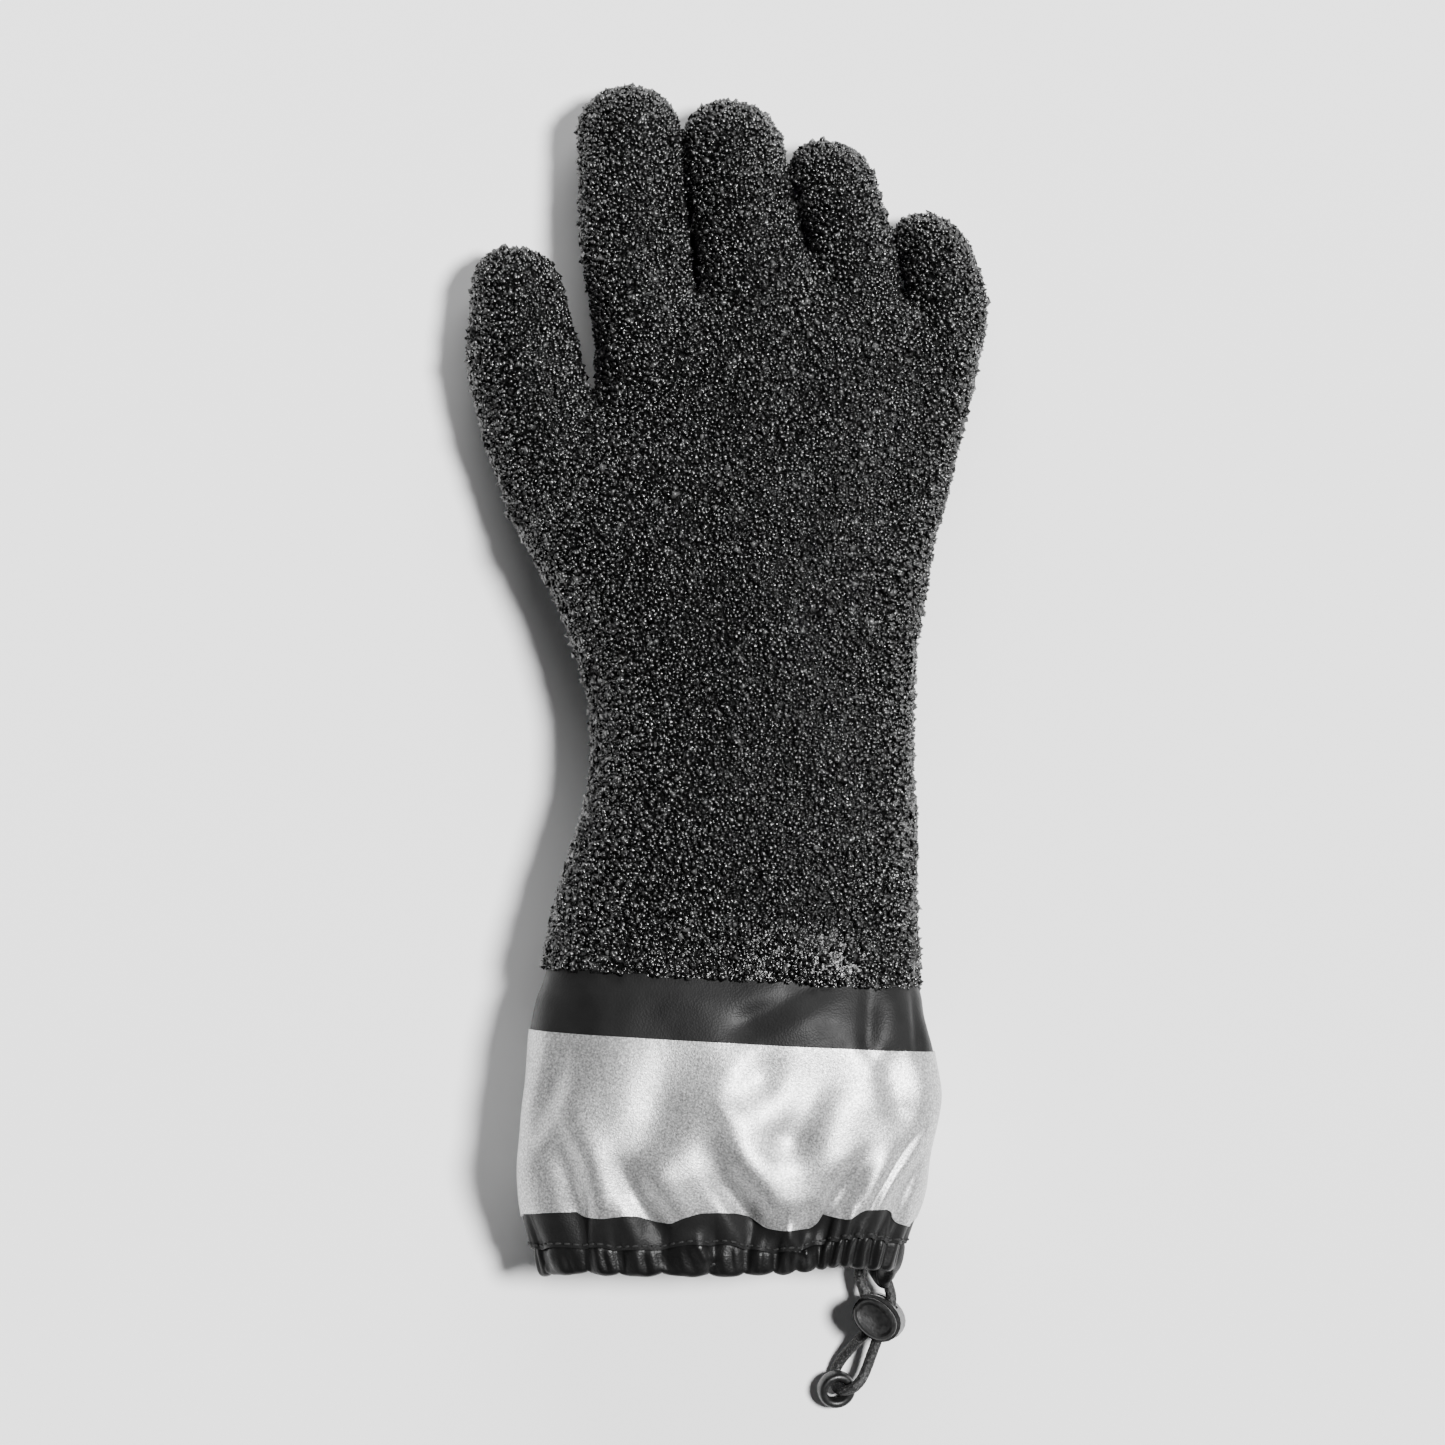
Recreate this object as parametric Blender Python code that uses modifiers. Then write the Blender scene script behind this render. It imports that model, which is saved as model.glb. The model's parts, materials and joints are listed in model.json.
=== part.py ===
"""Insulated gauntlet glove, right hand, lying palm down with its gathered cuff and drawcord.

Metres, +Z up, +Y towards the fingertips. Sizes below are in millimetres and are scaled once, where a mesh
is made. The glove is a PVC shell over a pile liner. Both are cut at the knuckles and the wrist, so that
each length turns on its own hinge. A coated sleeve with a reflective band closes the arm end.
"""

import math

import bmesh
import bpy
from mathutils import Matrix, Vector

MM = 0.001
GAP = 0.3  # air between neighbouring pieces

CENTRE = (0.2, -1.15)  # shifts the drawn outline onto the origin

# Layers, outside to inside
SHELL = 2.0  # PVC coat with its crumb grip
LINER = 3.0  # knitted pile
FABRIC = 1.0  # coated cuff cloth
TAPE = 0.6

# The body of the glove, wrist to arm end and wrist to knuckles: (y, left x, right x, top z)
ARM = (
    (-14.7, -44.6, 62.3, 52.0),
    (-31.0, -46.2, 62.0, 52.5),
    (-51.0, -51.5, 63.3, 53.5),
    (-72.0, -57.5, 63.0, 55.0),
    (-92.0, -62.3, 64.0, 57.0),
    (-114.0, -66.8, 67.8, 59.5),
    (-136.0, -70.0, 71.6, 62.0),
    (-160.0, -71.4, 68.6, 61.0),
    (-176.0, -70.2, 65.4, 56.0),
    (-188.0, -65.8, 59.0, 50.0),
    (-200.0, -63.6, 57.0, 48.0),
)
PALM = (
    (-14.7, -44.6, 62.3, 52.0),
    (12.0, -50.4, 62.4, 52.0),
    (34.0, -59.5, 66.3, 51.0),
    (54.0, -71.5, 71.0, 49.0),
    (70.0, -61.0, 75.2, 47.5),
    (84.0, -52.0, 78.3, 45.5),
    (97.0, -44.2, 81.3, 43.5),
    (113.0, -43.6, 84.0, 41.0),
    (129.0, -46.3, 86.6, 38.5),
)
ROUNDNESS = 2.6  # superellipse power of the flattened tube
SIDES = 28
FLAT_SINK = 1.5  # how far the full oval would reach below the surface, where it is flattened

# Wrist and knuckle lines
WRIST_Y = -14.7
WRIST_Z = 26.0
WRIST_SWING = 20.0
KNUCKLE_TOP_Y = 140.0  # furthest point of the curved knuckle line
KNUCKLE_X = 15.0
KNUCKLE_CURVE = 0.0046
HINGE_Z = 6.0
FLEX = 60.0
EXTEND = 10.0
SPARE = 1.5  # degrees that a joint could turn past its limits

# Fingers: stations (y, centre x, half width, centre z, half height), the middle joint's y and the tip's y
FINGER_SIDES = 12
FINGER_ROUNDNESS = 2.2
TIP_SHARES = (0.45, 0.75, 0.93)  # where the rings of a rounded tip lie, from its last station to its end
TIP_FLAT = 0.12  # width left at the very end
FINGERS = {
    "index": (((131.0, -28.7, 17.5, 19.0, 17.4), (184.0, -32.7, 17.3, 17.0, 15.4)), 165.0, 201.7),
    "middle": (((139.6, 8.2, 17.4, 19.0, 17.6), (180.0, 3.3, 16.8, 17.0, 15.6)), 168.0, 197.0),
    "ring": (((136.4, 42.9, 15.1, 18.0, 16.6), (168.0, 37.3, 14.1, 16.0, 14.6)), 159.0, 183.6),
    "little": (((124.2, 73.2, 12.9, 16.0, 14.8), (145.0, 70.0, 12.2, 14.5, 13.4)), 141.5, 159.5),
}

# Thumb, which leaves the palm along a slanted line
THUMB_LINE = ((-72.4, 54.0), (-44.6, 97.0))
THUMB = (
    (76.0, -60.0, 15.4, 18.0, 15.6),
    (103.0, -65.6, 19.8, 18.5, 16.0),
    (118.0, -69.0, 18.4, 18.0, 15.4),
    (132.0, -70.0, 16.0, 17.0, 14.4),
)
THUMB_JOINT_Y = 117.0
THUMB_TIP_Y = 148.4
THUMB_HOLE = (13.0, 9.0)  # radii of the way through, along the line and up
THUMB_HOLE_PAST = 1.0  # how far its middle is past the middle of the line
THUMB_HOLE_Z = 19.0
THUMB_HOLE_DEEP = 44.0
THUMB_HOLE_SIDES = 16
THUMB_SWING = 35.0

# Cuff
GLOVE_STEP_Y = (-93.5, -95.9)  # where the glove narrows to go inside the sleeve
GLOVE_END_Y = -112.0
SLEEVE_TOP_Y = -96.2
TAPE_Y = (-97.0, -110.0)
BAND_TOP_Y = -117.6
BAND_END_Y = -176.5
HEM_TOP_Y = -187.5
HEM_END_Y = -199.4
HEM_DEPTH = 7.0  # outside to inside of the folded channel
HEM_ROUND = 2.0  # radius of the fold's outer edge
HEM_ROUND_INSIDE = 1.5
THREAD = 0.7
HEM_STITCH_DROP = 1.2  # the hem's stitches below its top
SEEN_FROM_Z = 5.0  # the hem's stitches end here, near the surface that the glove lies on
CORD_WAY_HIGH = 20.0  # height of the gap in the hem where the cord comes out
CORD_WAY_DEEP = 12.0
CORD_WAY_SPARE = 2.0
CORD_END_SPARE = 8.0  # from the hem's gap to the two ends of the cord inside it
CORD_AIR = 0.6  # all round a cord where it goes through something

# Drawcord, its lock and its ring
CORD = 3.3
LOCK_BASE = (52.1, -212.0)  # where the lock stands
LOCK_TURN = 0.0  # degrees from +X to the line across both cords
LOCK_TILT = 9.0
LOCK_RISE = 1.5
LOCK_LONG = 8.8  # half lengths of the oval barrel
LOCK_SHORT = 6.8
LOCK_OVAL_TURN = -42.0  # the oval's long axis against the line across the cords
LOCK_ROUNDNESS = 2.2
LOCK_SIDES = 24
LOCK_WALL = 1.2
LOCK_FLOOR = 1.5
LOCK_HEIGHT = 12.8
LOCK_FOOT = 0.8  # chamfer round the foot
SLOT_HALF = 6.3  # half width of the cords' slot in the barrel
SLOT_STEP = 0.4  # by which the plunger's slot is narrower on each side
CORD_LEVEL = 8.0  # height of the cords above the lock's foot
PRESS = 2.5
STEM_FLOOR = 1.2  # under the plunger's slot
BUTTON = (8.0, 5.8)  # half lengths of the oval button
# The button's rounded rim and its dish: (inset of the oval, height above the button's underside)
BUTTON_RIM = ((0.4, 0.0), (0.0, 0.6), (0.0, 1.9), (0.5, 2.4), (1.2, 2.4), (2.2, 1.7))
DISH = (1.2, 0.8, 1.3)  # half lengths of the dish's middle, and its height
SPRING = (3.4, 0.5)  # radius and wire
SPRING_TURNS = 3
SPRING_STEPS = 10  # points in a turn
SPRING_AIR = 0.3
RING = (36.6, -236.6, 4.4)
RING_HOLE = 3.95  # radius
RING_WALL = 2.45
RING_LONG = 4.8
RING_PROFILE = 10  # points round the wall
RING_SIDES = 20
RING_TILT = 24.0
RING_RAISED = 127.0  # degrees from +X to the side that stands highest, over the cord
# One cord: out of the hem, through the lock, round through the ring and back. Points chosen along it.
LOOP = (
    (44.4, -198.4, 7.4),
    (45.3, -201.6, 7.9),
    (46.4, -205.0, 8.5),
    (46.9, -209.0, 8.8),
    (46.8, -213.2, 8.75),
    (46.2, -217.0, 8.35),
    (43.6, -220.4, 6.6),
    (40.8, -223.6, 4.6),
    (38.0, -227.2, 2.9),
    (36.2, -230.8, 1.9),
    (36.2, -234.2, 2.3),
    (37.2, -236.4, 4.3),
    (39.3, -236.8, 6.9),
    (42.3, -235.8, 8.2),
    (44.7, -233.4, 8.1),
    (46.5, -230.0, 7.6),
    (48.4, -224.8, 8.2),
    (50.0, -220.4, 9.0),
    (51.5, -216.6, 9.5),
    (53.2, -212.8, 9.8),
    (54.6, -209.0, 10.0),
    (55.0, -205.2, 10.3),
    (54.2, -201.6, 11.0),
    (53.0, -198.4, 12.0),
)
LOOP_STEPS = 2  # curve points between neighbouring route points

COLOURS = {
    "pvc": ((0.012, 0.012, 0.013, 1.0), 0.45),
    "pile": ((0.62, 0.60, 0.56, 1.0), 0.95),
    "cloth": ((0.022, 0.022, 0.024, 1.0), 0.5),
    "reflector": ((0.72, 0.72, 0.73, 1.0), 0.4),
    "tape": ((0.05, 0.05, 0.05, 1.0), 0.6),
    "thread": ((0.01, 0.01, 0.01, 1.0), 0.8),
    "cord": ((0.012, 0.012, 0.012, 1.0), 0.8),
    "plastic": ((0.02, 0.02, 0.02, 1.0), 0.3),
    "steel": ((0.6, 0.6, 0.6, 1.0), 0.3),
}


def clear_scene():
    for obj in list(bpy.data.objects):
        bpy.data.objects.remove(obj, do_unlink=True)


def new_collection(name):
    made = bpy.data.collections.new(name)
    bpy.context.scene.collection.children.link(made)
    return made


def material(name):
    made = bpy.data.materials.get(name)
    if made is None:
        colour, roughness = COLOURS[name]
        made = bpy.data.materials.new(name)
        made.use_nodes = True
        shader = made.node_tree.nodes["Principled BSDF"]
        shader.inputs["Base Color"].default_value = colour
        shader.inputs["Roughness"].default_value = roughness
        shader.inputs["Metallic"].default_value = 1.0 if name == "steel" else 0.0
    return made


def empty(name, spot, parent, collection):
    """A point that others hang on, given where it is in the drawing."""
    made = bpy.data.objects.new(name, None)
    made.parent = parent
    made.location = Vector(spot) * MM - drawn_place(parent)
    collection.objects.link(made)
    return made


def drawn_place(obj):
    """Where an empty is in the drawing, before the shift of the topmost one."""
    total = Vector()
    while obj is not None and obj.parent is not None:
        total += obj.location
        obj = obj.parent
    return total


def carry(holder, *names):
    for name in names:
        obj = bpy.data.objects[name]
        obj.parent = holder
        obj.location = -drawn_place(holder)


def place(name, mesh, finish, collection):
    mesh.materials.append(material(finish))
    mesh.shade_smooth()
    mesh.set_sharp_from_angle(angle=math.radians(40))
    obj = bpy.data.objects.new(name, mesh)
    collection.objects.link(obj)
    return obj


def station_at(stations, y):
    """The values of a table of stations at y, straight between neighbours, held beyond its ends."""
    rows = sorted(stations)
    if y <= rows[0][0]:
        return rows[0][1:]
    for low, high in zip(rows, rows[1:]):
        if y <= high[0]:
            share = (y - low[0]) / (high[0] - low[0])
            return tuple(a + (b - a) * share for a, b in zip(low[1:], high[1:]))
    return rows[-1][1:]


def oval(sides, half_x, half_z, power):
    """Points of a superellipse, from +X over the top."""
    points = []
    for k in range(sides):
        angle = 2 * math.pi * (k + 0.5) / sides
        c = math.cos(angle)
        s = math.sin(angle)
        x = half_x * math.copysign(abs(c) ** (2 / power), c)
        z = half_z * math.copysign(abs(s) ** (2 / power), s)
        points.append((x, z))
    return points


def body_ring(stations, y, inset, shift=None):
    """One cross-section of the flattened tube, inset from its outer face, flat where it lies."""
    left, right, top = station_at(stations, y)
    half_x = (right - left) / 2 - inset
    half_z = (top + FLAT_SINK) / 2 - inset
    middle_x = (left + right) / 2
    middle_z = (top - FLAT_SINK) / 2
    ring = []
    for x, z in oval(SIDES, half_x, half_z, ROUNDNESS):
        point = Vector((middle_x + x, y, max(middle_z + z, inset)))
        if shift is not None:
            point.y += shift(point.x, point.z)
        ring.append(point)
    return ring


def finger_ring(stations, y, inset, scale=1.0, shift=None):
    middle_x, half_x, middle_z, half_z = station_at(stations, y)
    ring = []
    for x, z in oval(FINGER_SIDES, half_x - inset, half_z - inset, FINGER_ROUNDNESS):
        point = Vector((middle_x + x * scale, y, middle_z + z * scale))
        if shift is not None:
            point.y += shift(point.x, point.z)
        ring.append(point)
    return ring


def relief(z, pivot_z, below, above):
    """How far an end face stands back at height z, so that the joint can close by these angles."""
    if z < pivot_z:
        return (pivot_z - z) * math.tan(math.radians(below / 2 + SPARE))
    return (z - pivot_z) * math.tan(math.radians(above / 2 + SPARE))


def knuckle_line(x):
    return KNUCKLE_TOP_Y - KNUCKLE_CURVE * (x - KNUCKLE_X) ** 2


def make_cutter(name, bm, cutters, parent=None):
    """A cutting body, drawn in millimetres, which stays out of the model itself."""
    bm.transform(Matrix.Scale(MM, 4))
    mesh = bpy.data.meshes.new(name)
    bm.to_mesh(mesh)
    bm.free()
    cutter = bpy.data.objects.new(name, mesh)
    cutter.parent = parent
    cutter.hide_render = True
    cutter.display_type = "WIRE"
    cutters.objects.link(cutter)
    return cutter


def box_cutter(name, size, middle, cutters, parent=None):
    bm = bmesh.new()
    bmesh.ops.create_cube(bm, size=1.0)
    bm.transform(Matrix.Translation(middle) @ Matrix.Diagonal((*size, 1.0)))
    return make_cutter(name, bm, cutters, parent)


def cut_away(obj, cutter):
    cut = obj.modifiers.new(cutter.name, "BOOLEAN")
    cut.object = cutter


def tube_mesh(name, outer, inner, closed=False):
    """A wall between two stacks of rings, open at both ends, or rounded off to a point at the last one."""
    bm = bmesh.new()
    stacks = []
    for rings in (outer, inner):
        stacks.append([[bm.verts.new(p * MM) for p in ring] for ring in rings])
    sides = len(outer[0])

    def skin(low, high, flip):
        for k in range(sides):
            n = (k + 1) % sides
            corners = [low[k], low[n], high[n], high[k]]
            bm.faces.new(corners[::-1] if flip else corners)

    for stack, flip in zip(stacks, (False, True)):
        for low, high in zip(stack, stack[1:]):
            skin(low, high, flip)
    skin(stacks[0][0], stacks[1][0], True)
    if not closed:
        skin(stacks[0][-1], stacks[1][-1], False)
    else:
        for stack, flip in zip(stacks, (False, True)):
            ring = stack[-1]
            middle = sum((v.co for v in ring), Vector()) / sides
            apex = bm.verts.new(middle)
            for k in range(sides):
                corners = [ring[k], ring[(k + 1) % sides], apex]
                bm.faces.new(corners[::-1] if flip else corners)
    bmesh.ops.recalc_face_normals(bm, faces=bm.faces)
    mesh = bpy.data.meshes.new(name)
    bm.to_mesh(mesh)
    bm.free()
    return mesh


def layers():
    """(layer name, outer inset, inner inset, finish) of the two layers of the glove."""
    start = SHELL + 1.5 * GAP
    return (("shell", 0.0, SHELL, "pvc"), ("liner", start, start + LINER, "pile"))


def make_gauntlet(parts):
    def wrist_face(x, z):
        return -GAP / 2 - relief(z, WRIST_Z, WRIST_SWING, WRIST_SWING)

    tuck = 2 * FABRIC + TAPE + 3 * GAP
    step_start, step_end = GLOVE_STEP_Y
    rows = [(row[0], 0.0) for row in ARM if row[0] > step_start]
    rows += [(step_start, 0.0), (step_end, tuck), (GLOVE_END_Y, tuck)]
    for layer, near, far, finish in layers():
        stacks = []
        for inset in (near, far):
            rings = [body_ring(ARM, WRIST_Y, inset, wrist_face)]
            rings += [body_ring(ARM, y, inset + extra) for y, extra in rows[1:]]
            stacks.append(rings)
        place("gauntlet_" + layer, tube_mesh(layer, *stacks), finish, parts)


def thumb_hole(cutters):
    """An oval rod through the slanted side of the palm, where the thumb's hollow opens into it."""
    (x0, y0), (x1, y1) = THUMB_LINE
    along = math.atan2(y1 - y0, x1 - x0)
    bm = bmesh.new()
    bmesh.ops.create_cone(bm, cap_ends=True, segments=THUMB_HOLE_SIDES, radius1=1, radius2=1, depth=1)
    size = Matrix.Diagonal((*THUMB_HOLE, THUMB_HOLE_DEEP, 1.0))
    stand = Matrix.Rotation(math.radians(90), 4, "X")
    turn = Matrix.Rotation(along, 4, "Z")
    middle = ((x0 + x1) / 2, (y0 + y1) / 2 + THUMB_HOLE_PAST, THUMB_HOLE_Z)
    spot = Matrix.Translation(middle)
    bm.transform(spot @ turn @ stand @ size)
    return make_cutter("thumb_hole", bm, cutters)


def make_palm(parts, cutters):
    def wrist_face(x, z):
        return GAP / 2 + relief(z, WRIST_Z, WRIST_SWING, WRIST_SWING)

    def knuckle_face(x, z):
        return knuckle_line(x) - PALM[-1][0] - GAP / 2 - relief(z, HINGE_Z, FLEX, EXTEND)

    def half_knuckle_face(x, z):
        return 0.4 * (knuckle_line(x) - PALM[-1][0])

    shifts = {PALM[0][0]: wrist_face, PALM[-1][0]: knuckle_face, PALM[-2][0]: half_knuckle_face}
    cutter = thumb_hole(cutters)
    for layer, near, far, finish in layers():
        stacks = []
        for inset in (near, far):
            stacks.append([body_ring(PALM, row[0], inset, shifts.get(row[0])) for row in PALM])
        obj = place("palm_" + layer, tube_mesh(layer, *stacks), finish, parts)
        cut_away(obj, cutter)


def tip_rows(stations, last_y, tip_y, inset):
    """(y, scale) of the rings that round off a fingertip, short of its apex."""
    rows = []
    reach = tip_y - inset - last_y
    for share in TIP_SHARES:
        rows.append((last_y + reach * share, math.sqrt(1 - share**2)))
    rows.append((tip_y - inset, TIP_FLAT))
    return rows


def finger_length(name, stations, start, end, root_face, end_face, parts):
    """The two layers of an open length of finger between two joints."""
    for layer, near, far, finish in layers():
        stacks = []
        for inset in (near, far):
            stacks.append([
                finger_ring(stations, start, inset, shift=root_face),
                finger_ring(stations, (start + end) / 2, inset),
                finger_ring(stations, end, inset, shift=end_face),
            ])
        place(f"{name}_base_{layer}", tube_mesh(layer, *stacks), finish, parts)


def finger_end(name, stations, start, tip_y, root_face, parts):
    last_y = stations[-1][0]
    for layer, near, far, finish in layers():
        stacks = []
        for inset in (near, far):
            rings = [finger_ring(stations, start, inset, shift=root_face)]
            rings.append(finger_ring(stations, last_y, inset))
            for y, scale in tip_rows(stations, last_y, tip_y, inset):
                rings.append(finger_ring(stations, y, inset, scale))
            stacks.append(rings)
        place(f"{name}_tip_{layer}", tube_mesh(layer, *stacks, closed=True), finish, parts)


def make_finger(name, parts):
    stations, joint_y, tip_y = FINGERS[name]
    root_y = stations[0][0]

    def root_face(x, z):
        return knuckle_line(x) - root_y + GAP / 2 + relief(z, HINGE_Z, FLEX, EXTEND)

    def before_joint(x, z):
        return -GAP / 2 - relief(z, HINGE_Z, FLEX, EXTEND)

    def after_joint(x, z):
        return GAP / 2 + relief(z, HINGE_Z, FLEX, EXTEND)

    finger_length(name, stations, root_y, joint_y, root_face, before_joint, parts)
    finger_end(name, stations, joint_y, tip_y, after_joint, parts)


def make_thumb(parts):
    (x0, y0), (x1, y1) = THUMB_LINE
    slope = (y1 - y0) / (x1 - x0)
    lean = math.hypot(1.0, slope)  # along Y for one across the line

    def root_face(x, z):
        line_y = y0 + (x - x0) * slope
        stand_off = GAP + relief(z, HINGE_Z, THUMB_SWING, EXTEND) * 2
        return line_y - THUMB[0][0] + stand_off * lean

    def before_joint(x, z):
        return -GAP / 2 - relief(z, HINGE_Z, FLEX, EXTEND)

    def after_joint(x, z):
        return GAP / 2 + relief(z, HINGE_Z, FLEX, EXTEND)

    finger_length("thumb", THUMB, THUMB[0][0], THUMB_JOINT_Y, root_face, before_joint, parts)
    finger_end("thumb", THUMB, THUMB_JOINT_Y, THUMB_TIP_Y, after_joint, parts)


def arm_tube(name, top, bottom, near, thickness, finish, parts):
    """A tube that follows the arm from y top down to y bottom, near its outer face by this inset."""
    rows = [top, *(row[0] for row in ARM if bottom < row[0] < top), bottom]
    stacks = [[body_ring(ARM, y, inset) for y in rows] for inset in (near, near + thickness)]
    place(name, tube_mesh(name, *stacks), finish, parts)


def make_cuff(parts):
    inner = FABRIC + GAP
    arm_tube("reflective_band", BAND_TOP_Y, BAND_END_Y, 0.0, FABRIC, "reflector", parts)
    arm_tube("cuff_sleeve", SLEEVE_TOP_Y, HEM_TOP_Y, inner, FABRIC, "cloth", parts)
    arm_tube("bonding_tape", *TAPE_Y, inner + FABRIC + GAP, TAPE, "tape", parts)


def fold_rings(top, bottom, wall, rounding):
    """Rings down the hem's outer leg, round its fold and up its inner leg, this far inside its face."""
    turn = wall + rounding
    rows = (
        (top, wall),
        (bottom + rounding, wall),
        (bottom, turn),
        (bottom, HEM_DEPTH - turn),
        (bottom + rounding, HEM_DEPTH - wall),
        (top, HEM_DEPTH - wall),
    )
    return [body_ring(ARM, y, inset) for y, inset in rows]


def make_hem(parts, cutters):
    """The folded channel: an outer leg, a fold at the edge and an inner leg, open at the top."""
    top = HEM_TOP_Y - GAP
    outer = fold_rings(top, HEM_END_Y, 0.0, HEM_ROUND)
    inner = fold_rings(top, HEM_END_Y + FABRIC, FABRIC, HEM_ROUND_INSIDE)
    obj = place("hem_channel", tube_mesh("hem_channel", outer, inner), "cloth", parts)
    left = LOOP[0][0]
    right = LOOP[-1][0]
    size = (right - left + CORD + CORD_WAY_SPARE, CORD_WAY_DEEP, CORD_WAY_HIGH)
    middle = ((left + right) / 2, HEM_END_Y - CORD_WAY_SPARE, CORD_WAY_HIGH / 2 - CORD_WAY_SPARE)
    cut_away(obj, box_cutter("cord_way", size, middle, cutters))


def wire(name, points, thickness, finish, parts, cyclic=False, resolution=0):
    curve = bpy.data.curves.new(name, "CURVE")
    curve.dimensions = "3D"
    curve.bevel_depth = thickness / 2 * MM
    curve.bevel_resolution = resolution
    curve.use_fill_caps = True
    spline = curve.splines.new("POLY")
    spline.points.add(len(points) - 1)
    for spot, point in zip(spline.points, points):
        spot.co = (point[0] * MM, point[1] * MM, point[2] * MM, 1.0)
    spline.use_cyclic_u = cyclic
    curve.materials.append(material(finish))
    obj = bpy.data.objects.new(name, curve)
    parts.objects.link(obj)
    return obj


def make_threads(parts):
    proud = -THREAD / 2 - GAP
    join_ring = body_ring(ARM, TAPE_Y[0], FABRIC + GAP + proud)
    join_line = [(p.x, p.y, max(p.z, THREAD / 2)) for p in join_ring]
    wire("join_stitching", join_line, THREAD, "thread", parts, cyclic=True)
    hem_ring = body_ring(ARM, HEM_TOP_Y - GAP - HEM_STITCH_DROP, proud)
    underside = SIDES * 3 // 4
    seen = [p for p in hem_ring[underside:] + hem_ring[:underside] if p.z > SEEN_FROM_Z]
    wire("hem_stitching", seen, THREAD, "thread", parts)


def between(a, b, c, d, t):
    """The point at share t from b to c, on the Catmull-Rom curve through four points."""
    slope = c - a
    bend = 2 * a - 5 * b + 4 * c - d
    twist = 3 * b - a - 3 * c + d
    return 0.5 * (2 * b + slope * t + bend * t**2 + twist * t**3)


def smooth_route(points, steps):
    """Points on a smooth curve through the route."""
    made = []
    padded = [Vector(point) for point in (points[0], *points, points[-1])]
    for a, b, c, d in zip(padded, padded[1:], padded[2:], padded[3:]):
        made += [between(a, b, c, d, k / steps) for k in range(steps)]
    made.append(padded[-1])
    return made


def make_cord(parts):
    wire("drawcord_loop", smooth_route(LOOP, LOOP_STEPS), CORD, "cord", parts, resolution=2)
    ring = body_ring(ARM, HEM_END_Y + FABRIC + GAP + CORD / 2 + CORD_AIR, HEM_DEPTH / 2)
    way_from = LOOP[0][0] - CORD_END_SPARE
    opening = [k for k, p in enumerate(ring) if p.z < WRIST_Z and way_from < p.x]
    start = (opening[-1] + 1) % SIDES
    kept = [ring[(start + k) % SIDES] for k in range(SIDES - len(opening))]
    wire("drawcord_hem", kept, CORD, "cord", parts, resolution=2)


def lock_frame():
    foot = Matrix.Translation((LOCK_BASE[0] * MM, LOCK_BASE[1] * MM, LOCK_RISE * MM))
    turn = Matrix.Rotation(math.radians(LOCK_TURN), 4, "Z")
    return foot @ turn @ Matrix.Rotation(math.radians(-LOCK_TILT), 4, "Y")


def oval_ring(half_x, half_y, z):
    turn = Matrix.Rotation(math.radians(LOCK_OVAL_TURN), 4, "Z")
    return [turn @ Vector((x, y, z)) for x, y in oval(LOCK_SIDES, half_x, half_y, LOCK_ROUNDNESS)]


def slot_cutter(name, low, high, half_width, cutters, base):
    """A box right through the lock along the cords, from height low to height high."""
    size = (2 * half_width, 4 * LOCK_LONG, high - low)
    return box_cutter(name, size, (0.0, 0.0, (low + high) / 2), cutters, base)


def make_barrel(parts, cutters, base):
    inside_x = LOCK_LONG - LOCK_WALL
    inside_y = LOCK_SHORT - LOCK_WALL
    outer = [
        oval_ring(LOCK_LONG - LOCK_FOOT, LOCK_SHORT - LOCK_FOOT, 0.0),
        oval_ring(LOCK_LONG, LOCK_SHORT, LOCK_FOOT),
        oval_ring(LOCK_LONG, LOCK_SHORT, LOCK_HEIGHT),
    ]
    inner = [oval_ring(inside_x, inside_y, height) for height in (LOCK_FLOOR, LOCK_HEIGHT)]
    barrel = place("cord_lock_barrel", cup_mesh("barrel", outer, inner), "plastic", parts)
    low = CORD_LEVEL - CORD / 2 - CORD_AIR
    high = CORD_LEVEL + CORD / 2 + CORD_AIR
    cut_away(barrel, slot_cutter("barrel_slot", low, high, SLOT_HALF, cutters, base))
    return barrel


def stem_foot():
    """Height of the plunger's foot, with its slot's floor just under the cords."""
    return CORD_LEVEL - CORD / 2 - GAP - STEM_FLOOR


def make_plunger(parts, cutters, base):
    stem_x = LOCK_LONG - LOCK_WALL - GAP
    stem_y = LOCK_SHORT - LOCK_WALL - GAP
    foot = stem_foot()
    under = LOCK_HEIGHT + PRESS + GAP
    button_x, button_y = BUTTON
    rings = [oval_ring(stem_x, stem_y, height) for height in (foot, under)]
    rings += [oval_ring(button_x - inset, button_y - inset, under + height) for inset, height in BUTTON_RIM]
    rings.append(oval_ring(DISH[0], DISH[1], under + DISH[2]))
    plunger = place("cord_lock_plunger", solid_mesh("plunger", rings), "plastic", parts)
    high = CORD_LEVEL + CORD / 2 + 2 * GAP + PRESS
    low = foot + STEM_FLOOR
    cut_away(plunger, slot_cutter("plunger_slot", low, high, SLOT_HALF - SLOT_STEP, cutters, base))
    return plunger


def make_spring(parts):
    radius, thickness = SPRING
    low = LOCK_FLOOR + GAP + SPRING_AIR
    high = stem_foot() - GAP - SPRING_AIR
    points = SPRING_TURNS * SPRING_STEPS
    coil = []
    for k in range(points + 1):
        angle = 2 * math.pi * k / SPRING_STEPS
        height = low + (high - low) * k / points
        coil.append((radius * math.cos(angle), radius * math.sin(angle), height))
    return wire("cord_lock_spring", coil, thickness, "steel", parts)


def make_lock(parts, cutters):
    base = bpy.data.objects.new("cord_lock", None)
    base.matrix_world = lock_frame()
    parts.objects.link(base)
    barrel = make_barrel(parts, cutters, base)
    plunger = make_plunger(parts, cutters, base)
    spring = make_spring(parts)
    for obj in (barrel, plunger, spring):
        obj.parent = base


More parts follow.
